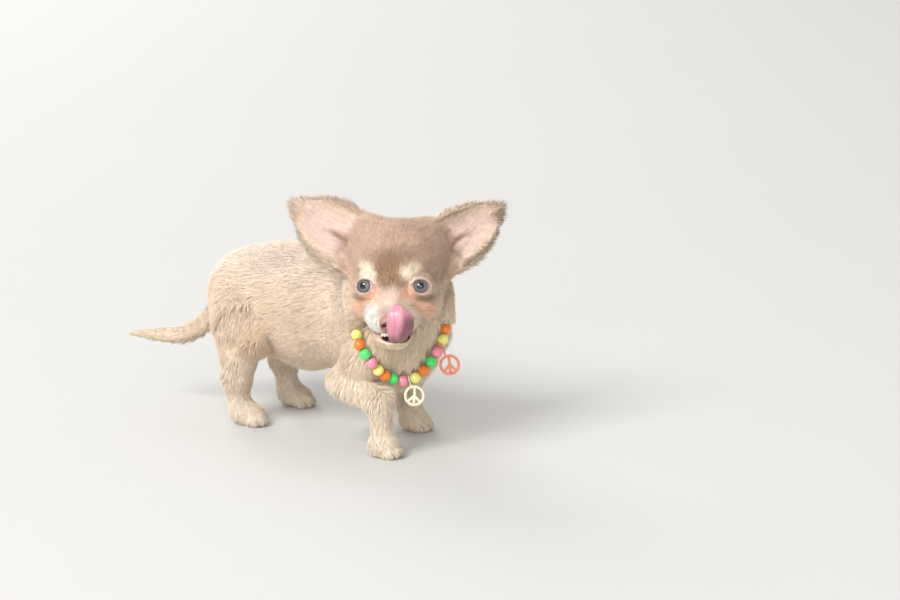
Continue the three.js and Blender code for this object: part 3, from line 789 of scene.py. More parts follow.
def earTint(tint, h):
    for name in earWays:
        u, v, rise = earPlace(name, h)[:3]
        on = ease(8, 3, np.abs(rise)) * ease(0.0, 0.14, v) * ease(1.35, 1.2, np.abs(u))
        edge = np.maximum(np.abs(u), ease(0.5, 1.0, v))
        streak = np.sin(u * 31 + 4 * v + 2 * np.sin(v * 7)) * 0.07 + np.sin(u * 57 - 5 * v) * 0.04
        outer = mix(shades["earRim"], shades["earEdge"], ease(0.55, 0.9, u))
        inner = mix(shades["earPink"], shades["earEdge"], ease(0.35, 0.8, edge + streak))
        upper = ease(-0.35, -0.75, u + streak) + ease(0.62, 0.92, v + streak)
        inner = mix(inner, shades["earRim"], np.clip(upper, 0, 1) * 0.75)
        inner = mix(inner, shades["earRim"], ease(0.9, 1.0, edge) * 0.6)
        # painted shade in the creases of the ear and at its root
        creaseShade = ridgeAt(u + 0.12 - 0.5 * v, 0.08, ease(0.6, 0.3, v))
        creaseShade += ridgeAt(u - 0.16 + 0.4 * v, 0.08, ease(0.45, 0.2, v))
        root = ease(0.26, 0.08, v) * ease(0.75, 0.2, np.abs(u - 0.1))
        lock = ease(0.2, 0.9, np.sin(u * 44 + 6 * v + 2 * np.sin(v * 11)))
        lock = lock * ease(0.1, 0.25, v) * ease(0.85, 0.6, v)
        inner = mix(inner, shades["earEdge"], lock * 0.35)
        inner = mix(inner, shades["fold"], np.clip(creaseShade * 0.6 + root * 0.65, 0, 1))
        tint = mix(tint, mix(outer, inner, ease(-0.6, 0.6, rise)), on)
    return tint


# Warm folds of thighs and right elbow: middle, half size and strength
warmFolds = [
    ((-42, -34, 62), (13, 16, 17), 0.6),
    ((-36, 34, 62), (13, 16, 17), 0.6),
    ((32, -40, 62), (14, 16, 10), 0.4),
]


def markingsAndShade(p):
    parts = partsOf(p)
    h = toLocal(headPlace, p)
    drift = wander(p, 26, 3)
    spine = ease(88, 122, p[2] + 4 * drift[0]) * ease(56, 20, p[0])
    tint = mix(shades["fawn"], shades["frost"], spine * 0.75)
    for at, half, share in warmFolds:
        tint = mix(tint, shades["warm"], patch(p, at, half, 0.6) * share)
    tint = mix(tint, shades["belly"], ease(60, 42, p[2]) * 0.9)
    c = toLocal(chestPlace, p)
    tint = mix(tint, shades["bib"], ease(0, 30, c[0]) * ease(36, 56, p[2]) * ease(116, 92, p[2]) * 0.85)
    tint = mix(tint, shades["cream"], ease(34, 14, p[2]) * 0.7)
    tint = mix(tint, shades["paleLeg"], ease(14, 30, p[0]) * ease(78, 46, p[2] + 5 * drift[1]) * 0.8)
    onTail = ease(-86, -100, p[0]) * ease(90, 60, p[2])
    tint = mix(tint, shades["cream"], onTail * ease(2, -5, drift[1] + p[2] - 47) * 0.4)
    leg = np.minimum.reduce([parts[name] for name in legs])
    onHead = ease(-5, 6, np.minimum(parts["trunk"], parts["neck"] + 3) - parts["face"])
    tint = mix(tint, headTint(h), onHead * ease(2, -3, parts["face"] - leg - 6))
    tint = eyeTint(tint, h)
    tint = earTint(mouthTint(tint, h), h)
    return tint * (1 + 0.05 * drift[2] + 0.04 * wander(p, 9, 4)[0])


# Materials

def setSockets(node, values):
    for socket, value in values.items():
        node.inputs[socket].default_value = value


def newMaterial(name, finish):
    material = bpy.data.materials.new(name)
    material.use_nodes = True
    tree = material.node_tree
    shader = tree.nodes["Principled BSDF"]
    setSockets(shader, finish)
    return material, tree, shader


def grainNode(tree, scale, detail=4.0, roughness=0.6):
    coords = tree.nodes.new("ShaderNodeTexCoord")
    noise = tree.nodes.new("ShaderNodeTexNoise")
    setSockets(noise, {"Scale": scale, "Detail": detail, "Roughness": roughness})
    tree.links.new(coords.outputs["Object"], noise.inputs["Vector"])
    return noise.outputs["Fac"]


def bumpFrom(tree, shader, height, strength, distance):
    bump = tree.nodes.new("ShaderNodeBump")
    setSockets(bump, {"Strength": strength, "Distance": distance})
    tree.links.new(height, bump.inputs["Height"])
    tree.links.new(bump.outputs["Normal"], shader.inputs["Normal"])


def tintedColour(tree, shader, grain, low, high):  # the vertex colours, lightened and darkened by grain
    tint = tree.nodes.new("ShaderNodeAttribute")
    tint.attribute_name = "tint"
    ramp = tree.nodes.new("ShaderNodeMapRange")
    setSockets(ramp, {"From Min": 0.3, "From Max": 0.7, "To Min": low, "To Max": high})
    tree.links.new(grain, ramp.inputs["Value"])
    scaled = tree.nodes.new("ShaderNodeVectorMath")
    scaled.operation = "SCALE"
    tree.links.new(tint.outputs["Color"], scaled.inputs[0])
    tree.links.new(ramp.outputs["Result"], scaled.inputs["Scale"])
    tree.links.new(scaled.outputs["Vector"], shader.inputs["Base Color"])


def grainedColour(tree, shader, grain, colour, dark, light, lift=0.0):  # between two shares of a colour
    blend = tree.nodes.new("ShaderNodeMix")
    blend.data_type = "RGBA"
    setSockets(blend, {"A": (*[c * dark for c in colour], 1),
                       "B": (*[min(1, c * light + lift) for c in colour], 1)})
    tree.links.new(grain, blend.inputs["Factor"])
    tree.links.new(blend.outputs["Result"], shader.inputs["Base Color"])


coatFinish = {"Roughness": 0.62, "Specular IOR Level": 0.3, "Sheen Weight": 0.25, "Sheen Roughness": 0.5}


def coatMaterial():
    material, tree, shader = newMaterial("puppy coat", coatFinish)
    tintedColour(tree, shader, grainNode(tree, 260, 3), 0.9, 1.1)
    return material


skinFinish = {"Roughness": 0.58, "Specular IOR Level": 0.3}


def skinMaterial():
    material, tree, shader = newMaterial("puppy skin with flat short fur", skinFinish)
    grain = grainNode(tree, 900, 5, 0.65)
    tintedColour(tree, shader, grain, 0.86, 1.1)
    bumpFrom(tree, shader, grain, 0.35, 0.0006)
    return material


def hornMaterial(name, colour, roughness, scale):  # teeth, claws, pads, whiskers and the elastic
    material, tree, shader = newMaterial(name, {"Roughness": roughness})
    grain = grainNode(tree, scale, 4)
    grainedColour(tree, shader, grain, colour, 0.8, 1.15)
    bumpFrom(tree, shader, grain, 0.4, 0.0002)
    return material


print("shapes and materials ready", flush=True)

# Skin

puppySkin = {
    "x": (-160, (26, 1.5), (126, 0.9)),
    "y": (-112, (56, 1.02)),
    "z": (-2, (22, 0.9), (84, 1.3), (176, 0.85)),
}
fleshNodes = ["rump", "belly", "chest", "neck", "tail_base", "tail_tip", "head", "lower_jaw",
              "ear_right", "ear_left"]
for kind, names in {"hind": ["thigh", "shank", "foot"], "fore": ["shoulder", "forearm", "paw"]}.items():
    fleshNodes += ["%s_%s_%s" % (name, kind, side) for name in names for side in ("right", "left")]


def onlyTheLargest(places, quads):  # drops stray closed bits that the net may leave
    parent = np.arange(places.shape[1])
    edges = np.concatenate([quads[:, [n, (n + 1) % 4]] for n in range(4)])
    while True:
        low = np.minimum(parent[edges[:, 0]], parent[edges[:, 1]])
        before = parent.copy()
        np.minimum.at(parent, edges[:, 0], low)
        np.minimum.at(parent, edges[:, 1], low)
        parent = parent[parent]
        if (parent == before).all():
            break
    keep = parent == np.bincount(parent).argmax()
    renumber = np.cumsum(keep) - 1
    return places[:, keep], renumber[quads[keep[quads[:, 0]]]]


skinAxes = [stepped(*puppySkin[axis]) for axis in "xyz"]
skinPlaces, skinQuads = onlyTheLargest(*surfaceOf(skinField, skinAxes))
skinPiece = addMesh("puppy_skin", skinPlaces, skinQuads)
tintMesh(skinPiece, markingsAndShade(skinPlaces))
skinPiece.data.materials.append(skinMaterial())
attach(skinPiece, "root")
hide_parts(*fleshNodes)
print("skin of", len(skinQuads), "quads", flush=True)

# Coat: solid tufts that lie along the body, each a bent spike of three sides on its own base

tuft = {
    "flat": 0.55,  # how much thinner it is than wide
    "sunk": 0.35,  # how far its base lies under the skin
    "belly": 0.5,  # share of its length where it bends and is widest
    "reach": 0.58,  # share of its width from its middle to its three edges
    "ground": 0.12,  # no part of it comes lower than this
    "stray": 0.13,  # how far locks lean out of the common lie
    "unruly": 0.12,  # how far single tufts lean out of their lock
    "longest": 14,
    "shortest": 0.9,
    "overBeads": {"lift": 44, "more": 0.4},  # how steeply the fold of the ruff stands, and how densely
    "patch": 0.003,  # its patch of the OFBake map
    "edge": 0.45,  # how far its own roundness shows in its shading, beside that of the skin under it
    "shade": (0.90, 0.90, 0.90, 1.0, 1.0, 1.0, 1.05),  # share of its colour at root, bend and tip: painted shade darkens the root and a painted sheen lightens the tip
    "most": 19500,  # tufts in a piece
}
regions = {
    # per: tufts on a square millimetre, reach: share of the coat's depth that tips rise to,
    # lift: degrees that a tuft leaves the skin at, and near its tip, wide: millimetres across
    "head": {"per": 2.7, "wide": 0.36, "lift": (32, 12), "reach": 0.95},
    "ear": {"per": 2.4, "wide": 0.34, "lift": (20, 8), "reach": 0.9},
    "neck": {"per": 1.8, "wide": 0.54, "lift": (38, 18), "reach": 1.0},
    "barrel": {"per": 1.8, "wide": 0.50, "lift": (34, 15), "reach": 1.0},
    "rump": {"per": 1.7, "wide": 0.50, "lift": (34, 15), "reach": 1.0},
    "hind": {"per": 1.75, "wide": 0.46, "lift": (32, 13), "reach": 0.95},
    "fore": {"per": 1.75, "wide": 0.44, "lift": (32, 13), "reach": 0.95},
    "tail": {"per": 2.6, "wide": 0.46, "lift": (30, 12), "reach": 1.0},
}
regionNames = list(regions)
atHead, atEar, atNeck, atBarrel, atRump, atHind, atFore, atTail = range(8)


def byRegion(key, region):
    return np.array([made[key] for made in regions.values()], float)[region]


def along(points, p):  # way along a line of points, by the stretches that are nearest
    ways, far = [], []
    for a, b in zip(points, points[1:]):
        a, b = column(a), column(b)
        t = np.clip(dot(p - a, b - a) / dot(b - a, b - a), 0, 1)
        gap = p - a - t * (b - a)
        ways.append(unit(b - a))
        far.append(dot(gap, gap))
    far = np.array(far)
    share = np.exp((far.min(0) - far) / 30)
    return unit(sum(way * part for way, part in zip(ways, share)))


def withinEar(name, w):  # 1 inside the half width of an ear, 0 beyond it
    wide = earWays[name]["halfWidth"]
    return ease(wide + 2, wide - 1, np.abs(w))


def earness(h):  # 1 on the ears, 0 elsewhere, and which ear is nearer
    best, ear = np.zeros(h.shape[1]), np.zeros(h.shape[1], int)
    for n, name in enumerate(earWays):
        v, rise, w = earPlace(name, h)[1:]
        on = ease(5, 3.2, np.abs(rise)) * ease(0.06, 0.14, v) * withinEar(name, w)
        ear = np.where(on > best, n, ear)
        best = np.maximum(best, on)
    return best, ear


def regionOf(p, parts, h):
    ears, ear = earness(h)
    leg = np.stack([parts[n] for n in legs])
    legRegion = np.where(leg.argmin(0) < 2, atHind, atFore)
    leg = leg.min(0)
    onFace = parts["face"] < np.minimum(parts["trunk"], parts["neck"] + 2) - 1
    region = np.where(p[0] < -36, atRump, np.where(p[0] < 22, atBarrel, atNeck))
    region = np.where((leg < parts["trunk"] - 0.5) | (p[2] < 34), legRegion, region)
    region = np.where(tailFlesh(p) < np.minimum(parts["trunk"], leg) + 2.5, atTail, region)
    region = np.where(onFace & (p[2] > 84), atHead, region)
    return np.where(ears > 0.5, atEar, region), ear


def lieOfHead(h):
    x, y, z = h
    side = np.sign(y)
    fromNose = unit(h - column((40, 0, -30)))  # the coat parts from the nose
    lie = mix(fromNose, unit(heading(-0.9, y * 0.016, 0.15)), ease(-8, 8, z))
    lie = mix(lie, unit(heading(-0.75, side * 0.25, -0.6)), ease(-14, -34, z) * ease(26, 8, x))
    lie = mix(lie, unit(heading(-0.8, side * 0.2, -0.55)), ease(-10, -26, x))
    return mix(lie, unit(column((-0.9, 0, -0.45))), ease(-48, -54, z))


def lieOf(p, parts, h, region, ear):
    lie = mix(column((-0.93, 0, -0.36)), column((-0.97, 0, 0.1)), ease(58, 44, p[2]))
    lie = mix(lie, column((-0.8, 0, -0.6)), ease(-76, -92, p[0]))
    chest = chestPlace["turn"] @ column((-0.45, 0, -0.89))
    lie = mix(lie, chest, ease(6, 26, toLocal(chestPlace, p)[0]))
    lie = mix(lie, unit(column((-0.35, 0.12, -0.93))), ease(84, 108, p[2]) * ease(16, 34, p[0]))
    leg = np.minimum.reduce([parts[n] for n in legs])
    legDown = column((-0.22, 0, -0.97))
    for name in ("fore_right", "fore_left"):
        onArm = ease(2, -4, parts[name] - leg) * ease(66, 52, p[2])
        legDown = mix(legDown, along(legs[name]["line"].T, p), onArm)
    lie = mix(lie, legDown, ease(-6, 6, parts["trunk"] - leg))
    lie = mix(lie, column((0.55, 0, -0.8)), ease(17, 9, p[2]))
    tailWay = along(tailLine.T, p) + column((0, 0, -0.15))
    lie = mix(lie, tailWay, ease(5, -3, tailFlesh(p) - np.minimum(parts["trunk"], leg)))
    onHead = ease(-6, 5, np.minimum(parts["trunk"], parts["neck"] + 2) - parts["face"])
    lie = mix(lie, headPlace["turn"] @ lieOfHead(h), onHead * ease(76, 90, p[2]))
    for n, (name, made) in enumerate(earWays.items()):
        u, v = earPlace(name, h)[:2]
        outwards = made["along"] * (1 - 0.35 * np.abs(u)) + made["wide"] * u * 0.9
        here = ((region == atEar) & (ear == n)) * ease(0.0, 0.16, v)
        lie = mix(lie, headPlace["turn"] @ outwards, here)
    return lie


def scatter(places, quads, normals, perQuad):  # random spots on the skin, perQuad of them on each quad
    count = perQuad.astype(int) + (draw.random(len(perQuad)) < perQuad % 1)
    quad = np.repeat(np.arange(len(quads)), count)
    a, b = draw.random((2, len(quad)))
    weights = [(1 - a) * (1 - b), a * (1 - b), a * b, (1 - a) * b]
    root = sum(w * places[:, quads[quad, n]] for n, w in enumerate(weights))
    normal = unit(sum(w * normals[:, quads[quad, n]] for n, w in enumerate(weights)))
    return root, normal


def areaOf(places, quads):
    a, b, c, d = [places[:, quads[:, n]] for n in range(4)]
    return 0.5 * length(cross(c - a, d - b))


def growTufts(t):  # ways and bends of tufts into the points and faces of their spikes
    n = t["root"].shape[1]
    lie, normal = t["lie"], t["normal"]
    side = unit(cross(normal, lie))
    lifts = [np.radians(t["liftRoot"]), np.radians(t["liftTip"])]
    ways = [unit(lie * np.cos(lift) + normal * np.sin(lift) + side * t["curl"] * k)
            for k, lift in enumerate(lifts)]
    start = t["root"] - normal * tuft["sunk"]
    bend = start + ways[0] * t["length"] * tuft["belly"]
    tip = bend + ways[1] * t["length"] * (1 - tuft["belly"])
    bend[2] = np.maximum(bend[2], tuft["ground"] + t["wide"] * 0.5)
    tip[2] = np.maximum(tip[2], tuft["ground"])
    places = np.empty((3, n, 7))
    for ring, (middle, way, share) in enumerate(((start, ways[0], 0.8), (bend, ways[0], 1.0))):
        up = cross(way, side)
        for corner in range(3):
            turn = math.radians(90 + 120 * corner)
            reach = t["wide"] * tuft["reach"] * share
            places[:, :, ring * 3 + corner] = (
                middle + side * reach * math.cos(turn) + up * reach * tuft["flat"] * math.sin(turn))
    places[:, :, 6] = tip
    shape = np.array([[0, 2, 1]] + [
        face for c in range(3) for d in [(c + 1) % 3]
        for face in ([c, 3 + d, 3 + c], [c, d, 3 + d], [3 + c, 3 + d, 6])])
    return places, shape


def tuftPatch():  # UV of each corner of each face of a tuft, in its own patch from -0.5 to 0.5
    low, high, tip = -0.3, 0.05, 0.5
    faces = [[(-0.5, -0.5), (0.0, -0.34), (0.5, -0.5)]]
    for c in range(3):
        left, right = -0.5 + c / 3, -0.5 + (c + 1) / 3
        faces.append([(left, low), (right, high), (left, high)])
        faces.append([(left, low), (right, low), (right, high)])
        faces.append([(left, high), (right, high), ((left + right) / 2, tip)])
    return np.array(faces)


def turnOf(a, b):  # 0 to 1 round a middle
    return np.arctan2(a, b) / (2 * math.pi) + 0.5


# Trunk pieces on the unwrap: their ends along x, and their middle line's y and z
unwrapSpans = {"barrel": (-38, 24, 0, 82), "rump": (-100, -34, 0, 82), "tail": (-156, -70, -8, 60)}
# Legs on the unwrap: the middle lines of right and left, and the y that parts them
unwrapLegs = {"hind": ((-58, -27), (-54, 27), 0), "fore": ((52, -42), (50, 17), -10)}


def unwrapped(region, p, h, ear):  # place of a root on an unwrap of its part of the skin, 0 to 1
    if region == "head":
        q = unit((h - column((4, 0, -14))) * column((0.75, 1, 1)))
        return np.stack([turnOf(q[1], q[2]), np.arccos(np.clip(q[0], -1, 1)) / math.pi])
    if region == "neck":
        q = unit(p - column((50, -8, 90)))
        return np.stack([turnOf(q[1], q[0]), np.arccos(np.clip(q[2], -1, 1)) / math.pi])
    if region == "ear":
        places = np.zeros((2, p.shape[1]))
        for n, name in enumerate(earWays):
            v, rise, w = earPlace(name, h)[1:]
            spot = np.stack([0.25 + w / 110 + 0.5 * (rise < 0), 0.05 + 0.42 * v + 0.5 * n])
            places = np.where(ear == n, spot, places)
        return places
    if region in unwrapSpans:
        low, high, y, z = unwrapSpans[region]
        return np.stack([turnOf(p[1] - y, z - p[2]), (p[0] - low) / (high - low)])
    right, left, border = unwrapLegs[region]
    side = p[1] > border
    x = p[0] - np.where(side, left[0], right[0])
    y = p[1] - np.where(side, left[1], right[1])
    return np.stack([0.5 * turnOf(y, x) + 0.5 * side, np.clip(p[2] / 100, 0, 1)])


def addTufts(name, t, uvs):
    places, shape = growTufts(t)
    n = places.shape[1]
    faces = (shape[None] + 7 * np.arange(n)[:, None, None]).reshape(-1, 3)
    piece = addMesh(name, places.reshape(3, -1), faces)
    # painted shade darkens each tuft at its root and a painted sheen lightens its tip
    tints = t["tint"][:, :, None] * np.array(tuft["shade"])
    tintMesh(piece, np.clip(tints.reshape(3, -1), 0, 1))
    soft = np.repeat(t["shade"][:, :, None], 7, 2)
    rings = places[:, :, :6].reshape(3, n, 2, 3)
    own = (rings - rings.mean(3, keepdims=True)).reshape(3, n, 6)
    soft[:, :, :6] += tuft["edge"] * own / np.maximum(length(own), 1e-6)
    piece.data.normals_split_custom_set_from_vertices(unit(soft.reshape(3, -1)).T)
    layer = piece.data.uv_layers.new(name="OFBake")
    low, high = uvs.min(1, keepdims=True), uvs.max(1, keepdims=True)
    spot = mix(tuft["patch"], 1 - tuft["patch"], (uvs - low) / (high - low)).T[:, None, None, :]
    corners = spot + tuftPatch() * tuft["patch"]
    layer.data.foreach_set("uv", corners.astype(np.float32).ravel())
    piece.data.materials.append(coatSurface)
    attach(piece, "root")


def beadClear(t):  # False for tufts that would run through a bare bead
    lift = np.radians((t["liftRoot"] + t["liftTip"]) / 2)
    way = t["lie"] * np.cos(lift) + t["normal"] * np.sin(lift)
    worst = np.full(t["root"].shape[1], 1e9)
    for share in (0.35, 0.7, 1.0):
        spot = t["root"] + way * t["length"] * share
        for middle in beadMiddles.T:
            worst = np.minimum(worst, length(spot - middle[:, None]))
    place = alongString(t["root"])[1]
    return (unseen(place) > 0.5) | (worst > necklace["beadWide"] / 2 + 0.1)


def overBeads(p):  # 1 where the ruff has to close over the beads
    far, place = alongString(p)
    return ease(11, 6, far) * unseen(place)


def bareness(p, h):  # share of the full coat that grows at each place
    full = np.ones(p.shape[1])
    for name in earWays:
        full *= ease(0.9, 2.2, eyeOpening(name, h))
        u, v, rise, w = earPlace(name, h)
        inner = ease(6, 4, np.abs(rise)) * ease(0.3, 0.9, rise) * ease(0.05, 0.15, v)
        edge = np.maximum(np.abs(u), ease(0.4, 1.0, v))
        thin = mix(0.68, 0.0, np.maximum(ease(0.3, 0.75, edge), ease(0.34, 0.16, v)))
        full *= 1 - inner * withinEar(name, w) * thin
    nose = blob(build["noseAt"], tuple(r + 1.2 for r in build["noseHalf"]))(h)
    full *= ease(-0.2, 0.8, nose)
    full *= ease(-0.3, 1.0, mouthHollow(h))
    full *= np.maximum(ease(0.2, 1.2, lowerLip(1.6, h)), ease(-51.4, -52.6, h[2]))
    return full * ease(0.5, 1.6, p[2])


def depthAt(p, normal, parts, region):
    depth = mix(coatDepth(p, parts), coat["overBeads"], overBeads(p))
    tailDepth = np.clip(tailFlesh(p) - tailCoat(p), 0.8, 6) * mix(0.6, 1.0, ease(-150, -136, p[0]))
    fringe = ease(0.1, 0.9, -normal[2]) * ease(-98, -112, p[0]) * ease(-142, -128, p[0])
    tailDepth = np.clip(tailDepth * mix(1.0, 1.1, fringe), 0.8, 3.6)
    return np.where(region == atTail, tailDepth, depth)


def earHairs(h, ear):  # length of the hairs of the ears, longest along their rims
    long = np.full(h.shape[1], 4.0)
    for n, name in enumerate(earWays):
        u, v = earPlace(name, h)[:2]
        edge = np.maximum(np.abs(u), ease(0.35, 1.0, v))
        long = np.where(ear == n, mix(3.6, 8.5, ease(0.6, 1.0, edge)), long)
    return long


def shadedWay(way, h, region, ear):  # way that a tuft is shaded along: at the rim of an ear, out of it
    for n, (name, made) in enumerate(earWays.items()):
        u, v = earPlace(name, h)[:2]
        out = made["wide"] * np.sign(u) * ease(1.0, 0.7, v) + made["along"] * ease(0.4, 0.9, v)
        out = out + made["out"] * 0.3
        edge = np.maximum(np.abs(u), ease(0.4, 1.0, v))
        rim = ((region == atEar) & (ear == n)) * ease(0.4, 0.8, edge) * 0.75
        way = mix(way, headPlace["turn"] @ unit(out), rim)
    return unit(way)


def makeCoat(places, quads):
    normals = unit(slopeOf(skinField, places))
    middles = sum(places[:, quads[:, n]] for n in range(4)) / 4
    parts, h = partsOf(middles), toLocal(headPlace, middles)
    region, ear = regionOf(middles, parts, h)
    per = byRegion("per", region) * bareness(middles, h)
    per = per * (1 + tuft["overBeads"]["more"] * overBeads(middles))
    root, normal = scatter(places, quads, normals, areaOf(places, quads) * per)
    parts, h = partsOf(root), toLocal(headPlace, root)
    region, ear = regionOf(root, parts, h)
    n = root.shape[1]
    calm = region == atTail
    lean = wander(root, 6, 11) * tuft["stray"] + wander(root, 26, 12) * 0.10
    lean = lean * np.where(calm, 0.35, 1.0) + draw.normal(0, tuft["unruly"], lean.shape)
    lie = lieOf(root, parts, h, region, ear)
    lie = lie / np.maximum(length(lie), 0.2) + lean
    lie = unit(lie - normal * dot(lie, normal))
    wobble = wander(root, 5, 13)[0] * np.where(calm, 0.3, 1.0)
    liftRoot, liftTip = byRegion("lift", region).T
    liftRoot = mix(liftRoot, tuft["overBeads"]["lift"], overBeads(root))
    liftRoot = liftRoot * (1 + 0.06 * wobble + draw.normal(0, 0.08, n))
    liftTip = liftTip * (1 + 0.12 * wobble + draw.normal(0, 0.2, n))
    rise = mix(np.sin(np.radians(liftTip)), np.sin(np.radians(liftRoot)), tuft["belly"])
    depth = depthAt(root, normal, parts, region) * byRegion("reach", region)
    long = depth / np.maximum(rise, 0.15) * draw.uniform(0.72, 1.06, n) + tuft["sunk"]
    long = np.minimum(long, tuft["longest"])
    long = np.where(region == atEar, earHairs(h, ear) * draw.uniform(0.75, 1.1, n), long)
    wide = byRegion("wide", region) * draw.uniform(0.75, 1.15, n) * np.clip(long / 4, 0.55, 1)
    tint = markingsAndShade(root) * (1 + draw.normal(0, 0.06, n)) * (1 + 0.07 * wander(root, 4, 14)[1])
    t = {"root": root, "normal": normal, "lie": lie, "length": long, "wide": wide, "tint": tint,
         "shade": shadedWay(normal, h, region, ear), "h": h, "region": region, "ear": ear,
         "liftRoot": liftRoot, "liftTip": liftTip, "curl": draw.normal(0, tuft["unruly"], n)}
    keep = beadClear(t) & (long > tuft["shortest"])
    return {key: value[..., keep] for key, value in t.items()}


def someOf(t, chosen):
    return {key: value[..., chosen] for key, value in t.items()}


coatSurface = coatMaterial()
tufts = makeCoat(skinPlaces, skinQuads)
for number, name in enumerate(regionNames):
    t = someOf(tufts, tufts["region"] == number)
    uvs = unwrapped(name, t["root"], t["h"], t["ear"])
    order = np.argsort(uvs[0] if name in unwrapLegs else uvs[1], kind="stable")
    pieces = math.ceil(len(order) / tuft["most"])
    for n, some in enumerate(np.array_split(order, pieces)):
        label = "coat_" + name + ("_%d" % (n + 1) if pieces > 1 else "")
        addTufts(label, someOf(t, some), uvs[:, some])
    print("coat on", name, len(order), "tufts", flush=True)
print("coat of", len(tufts["region"]), "tufts", flush=True)

# Closed shapes from rings of points

def loft(rings, loop=False):  # rings of equally many points; ends closed with a fan unless it is a loop
    count = rings[0].shape[1]
    places = list(rings)
    faces = []
    last = len(rings) if loop else len(rings) - 1
    i = np.arange(count)
    j = (i + 1) % count
    for r in range(last):
        here, there = r * count, ((r + 1) % len(rings)) * count
        faces += [(here + i, here + j, there + j), (here + i, there + j, there + i)]
    if not loop:
        base, end = len(rings) * count, last * count
        places += [rings[0].mean(1, keepdims=True), rings[-1].mean(1, keepdims=True)]
        faces += [(j, i, 0 * i + base), (end + i, end + j, 0 * i + base + 1)]
    return np.hstack(places), np.concatenate([np.stack(face, 1) for face in faces])


def oval(middle, wide, up, halfWide, halfUp, sides, square=1.0):
    turn = np.arange(sides) / sides * 2 * math.pi
    c, s = np.cos(turn), np.sin(turn)
    c, s = np.sign(c) * np.abs(c) ** square, np.sign(s) * np.abs(s) ** square
    return middle + wide * c * halfWide + up * s * halfUp


def tube(points, radii, sides=6):
    ways = unit(np.gradient(points, axis=1))
    wide = unit(cross(ways[:, :1], column((0.31, 0.2, 0.93))))
    rings = []
    for n in range(points.shape[1]):
        way = ways[:, n:n + 1]
        wide = unit(wide - way * dot(wide, way))
        rings.append(oval(points[:, n:n + 1], wide, cross(way, wide), radii[n], radii[n], sides))
    return loft(rings)


def joined(shapes):  # several (places, faces) as one
    places, faces, count = [], [], 0
    for p, f in shapes:
        places.append(p)
        faces.append(f + count)
        count += p.shape[1]
    return np.hstack(places), np.concatenate(faces)


def addPiece(name, shape, material, replaced=(), tints=None):
    piece = addMesh(name, *shape)
    if tints is not None:
        tintMesh(piece, tints)
    piece.data.materials.append(material)
    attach(piece, "root")
    if replaced:
        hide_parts(*replaced)


def fromHead(shape):  # a shape made in the head's frame, brought to the body's
    return toBody(headPlace, shape[0]), shape[1]


def colours(look, *names):
    return [column(look[name]) for name in names]


def upright(way):  # the way across another way, level, and the way up from both
    wide = unit(cross(column((0, 0, 1)), way))
    return wide, cross(way, wide)


# Eyes

eye = {
    "irisRadius": 4.5,
    "pupilRadius": 2.3,
    "corneaRadius": 5.1,
    "segments": 72,
    "bulge": 7.75,  # how far the middle of the cornea stands before the middle of the eyeball
    "iris": (0.22, 0.20, 0.205),
    "irisInner": (0.12, 0.105, 0.10),
    "ring": (0.075, 0.07, 0.075),
    "pupil": (0.004, 0.004, 0.005),
    "white": (0.70, 0.56, 0.51),
}
eyeFinish = {"Roughness": 0.12, "Coat Weight": 1.0, "Coat Roughness": 0.02, "IOR": 1.4}


def eyeMaterial():
    material, tree, shader = newMaterial("wet eye", eyeFinish)
    tintedColour(tree, shader, grainNode(tree, 2600, 3), 0.82, 1.18)
    return material


def irisTint(r, turn):  # colour at a distance from the middle of the pupil
    inner, outer, ring, pupil, white = colours(eye, "irisInner", "iris", "ring", "pupil", "white")
    rim, hole = eye["irisRadius"], eye["pupilRadius"]
    fibre = 0.5 + 0.5 * np.sin(turn * 17 + 3 * np.sin(turn * 5)) * np.sin(turn * 29 + 1.3)
    tint = mix(inner, outer, ease(hole, 3.8, r)) * (0.8 + 0.4 * fibre)
    tint = mix(tint, ring, ease(rim - 1.0, rim - 0.1, r))
    tint = mix(pupil, tint, ease(hole - 0.5, hole + 0.5, r))
    return mix(tint, white, ease(rim - 0.05, rim + 0.4, r))


def makeEye(name, material):
    middle = eyeMiddle(name)
    front = unit(column(face["gaze"][name]))
    wide, up = upright(front)
    rings, tints = [], []
    turn = np.arange(eye["segments"]) / eye["segments"] * 2 * math.pi
    ball, dome = build["eyeRadius"] - 0.12, eye["corneaRadius"]
    centre = eye["bulge"] - dome
    for angle in np.radians(np.concatenate([np.linspace(1.2, 48, 36), np.linspace(54, 176, 20)])):
        c, s = math.cos(angle), math.sin(angle)
        cornea = centre * c + math.sqrt(max(dome ** 2 - (centre * s) ** 2, 0))
        reach = max(ball, cornea) + 0.075 * math.exp(-((ball - cornea) / 0.4) ** 2)
        radius = reach * s
        rings.append(middle + front * reach * c + (wide * np.cos(turn) + up * np.sin(turn)) * radius)
        tints.append(irisTint(radius if angle < 1.2 else 9.0, turn))
    shape = fromHead(loft(rings[::-1]))
    tints = np.hstack(tints[::-1] + colours(eye, "white", "pupil"))
    addPiece("eyeball_" + name, shape, material, ["eye_" + name], tints)


eyeSurface = eyeMaterial()
for name in sideOf:
    makeEye(name, eyeSurface)
print("eyes made", flush=True)

# Nose

noseLook = {
    "skin": (0.36, 0.17, 0.14),
    "pale": (0.54, 0.31, 0.265),
    # dark: painted shade inside the nostrils
    "dark": (0.12, 0.05, 0.045),
    "cell": 0.38,  # of the net that gives its surface
}
noseFinish = {"Roughness": 0.36, "Coat Weight": 0.25, "Coat Roughness": 0.2}


def noseBall(p):
    x, y, z = build["noseAt"]
    tip, wing = blob((x, y, z + 0.7), (6, 6.9, 4.7)), blob((x + 1.2, 3.3, z - 1.5), (4.3, 3.5, 3.6))
    return tip(p), wing(heading(p[0], np.abs(p[1]), p[2]))


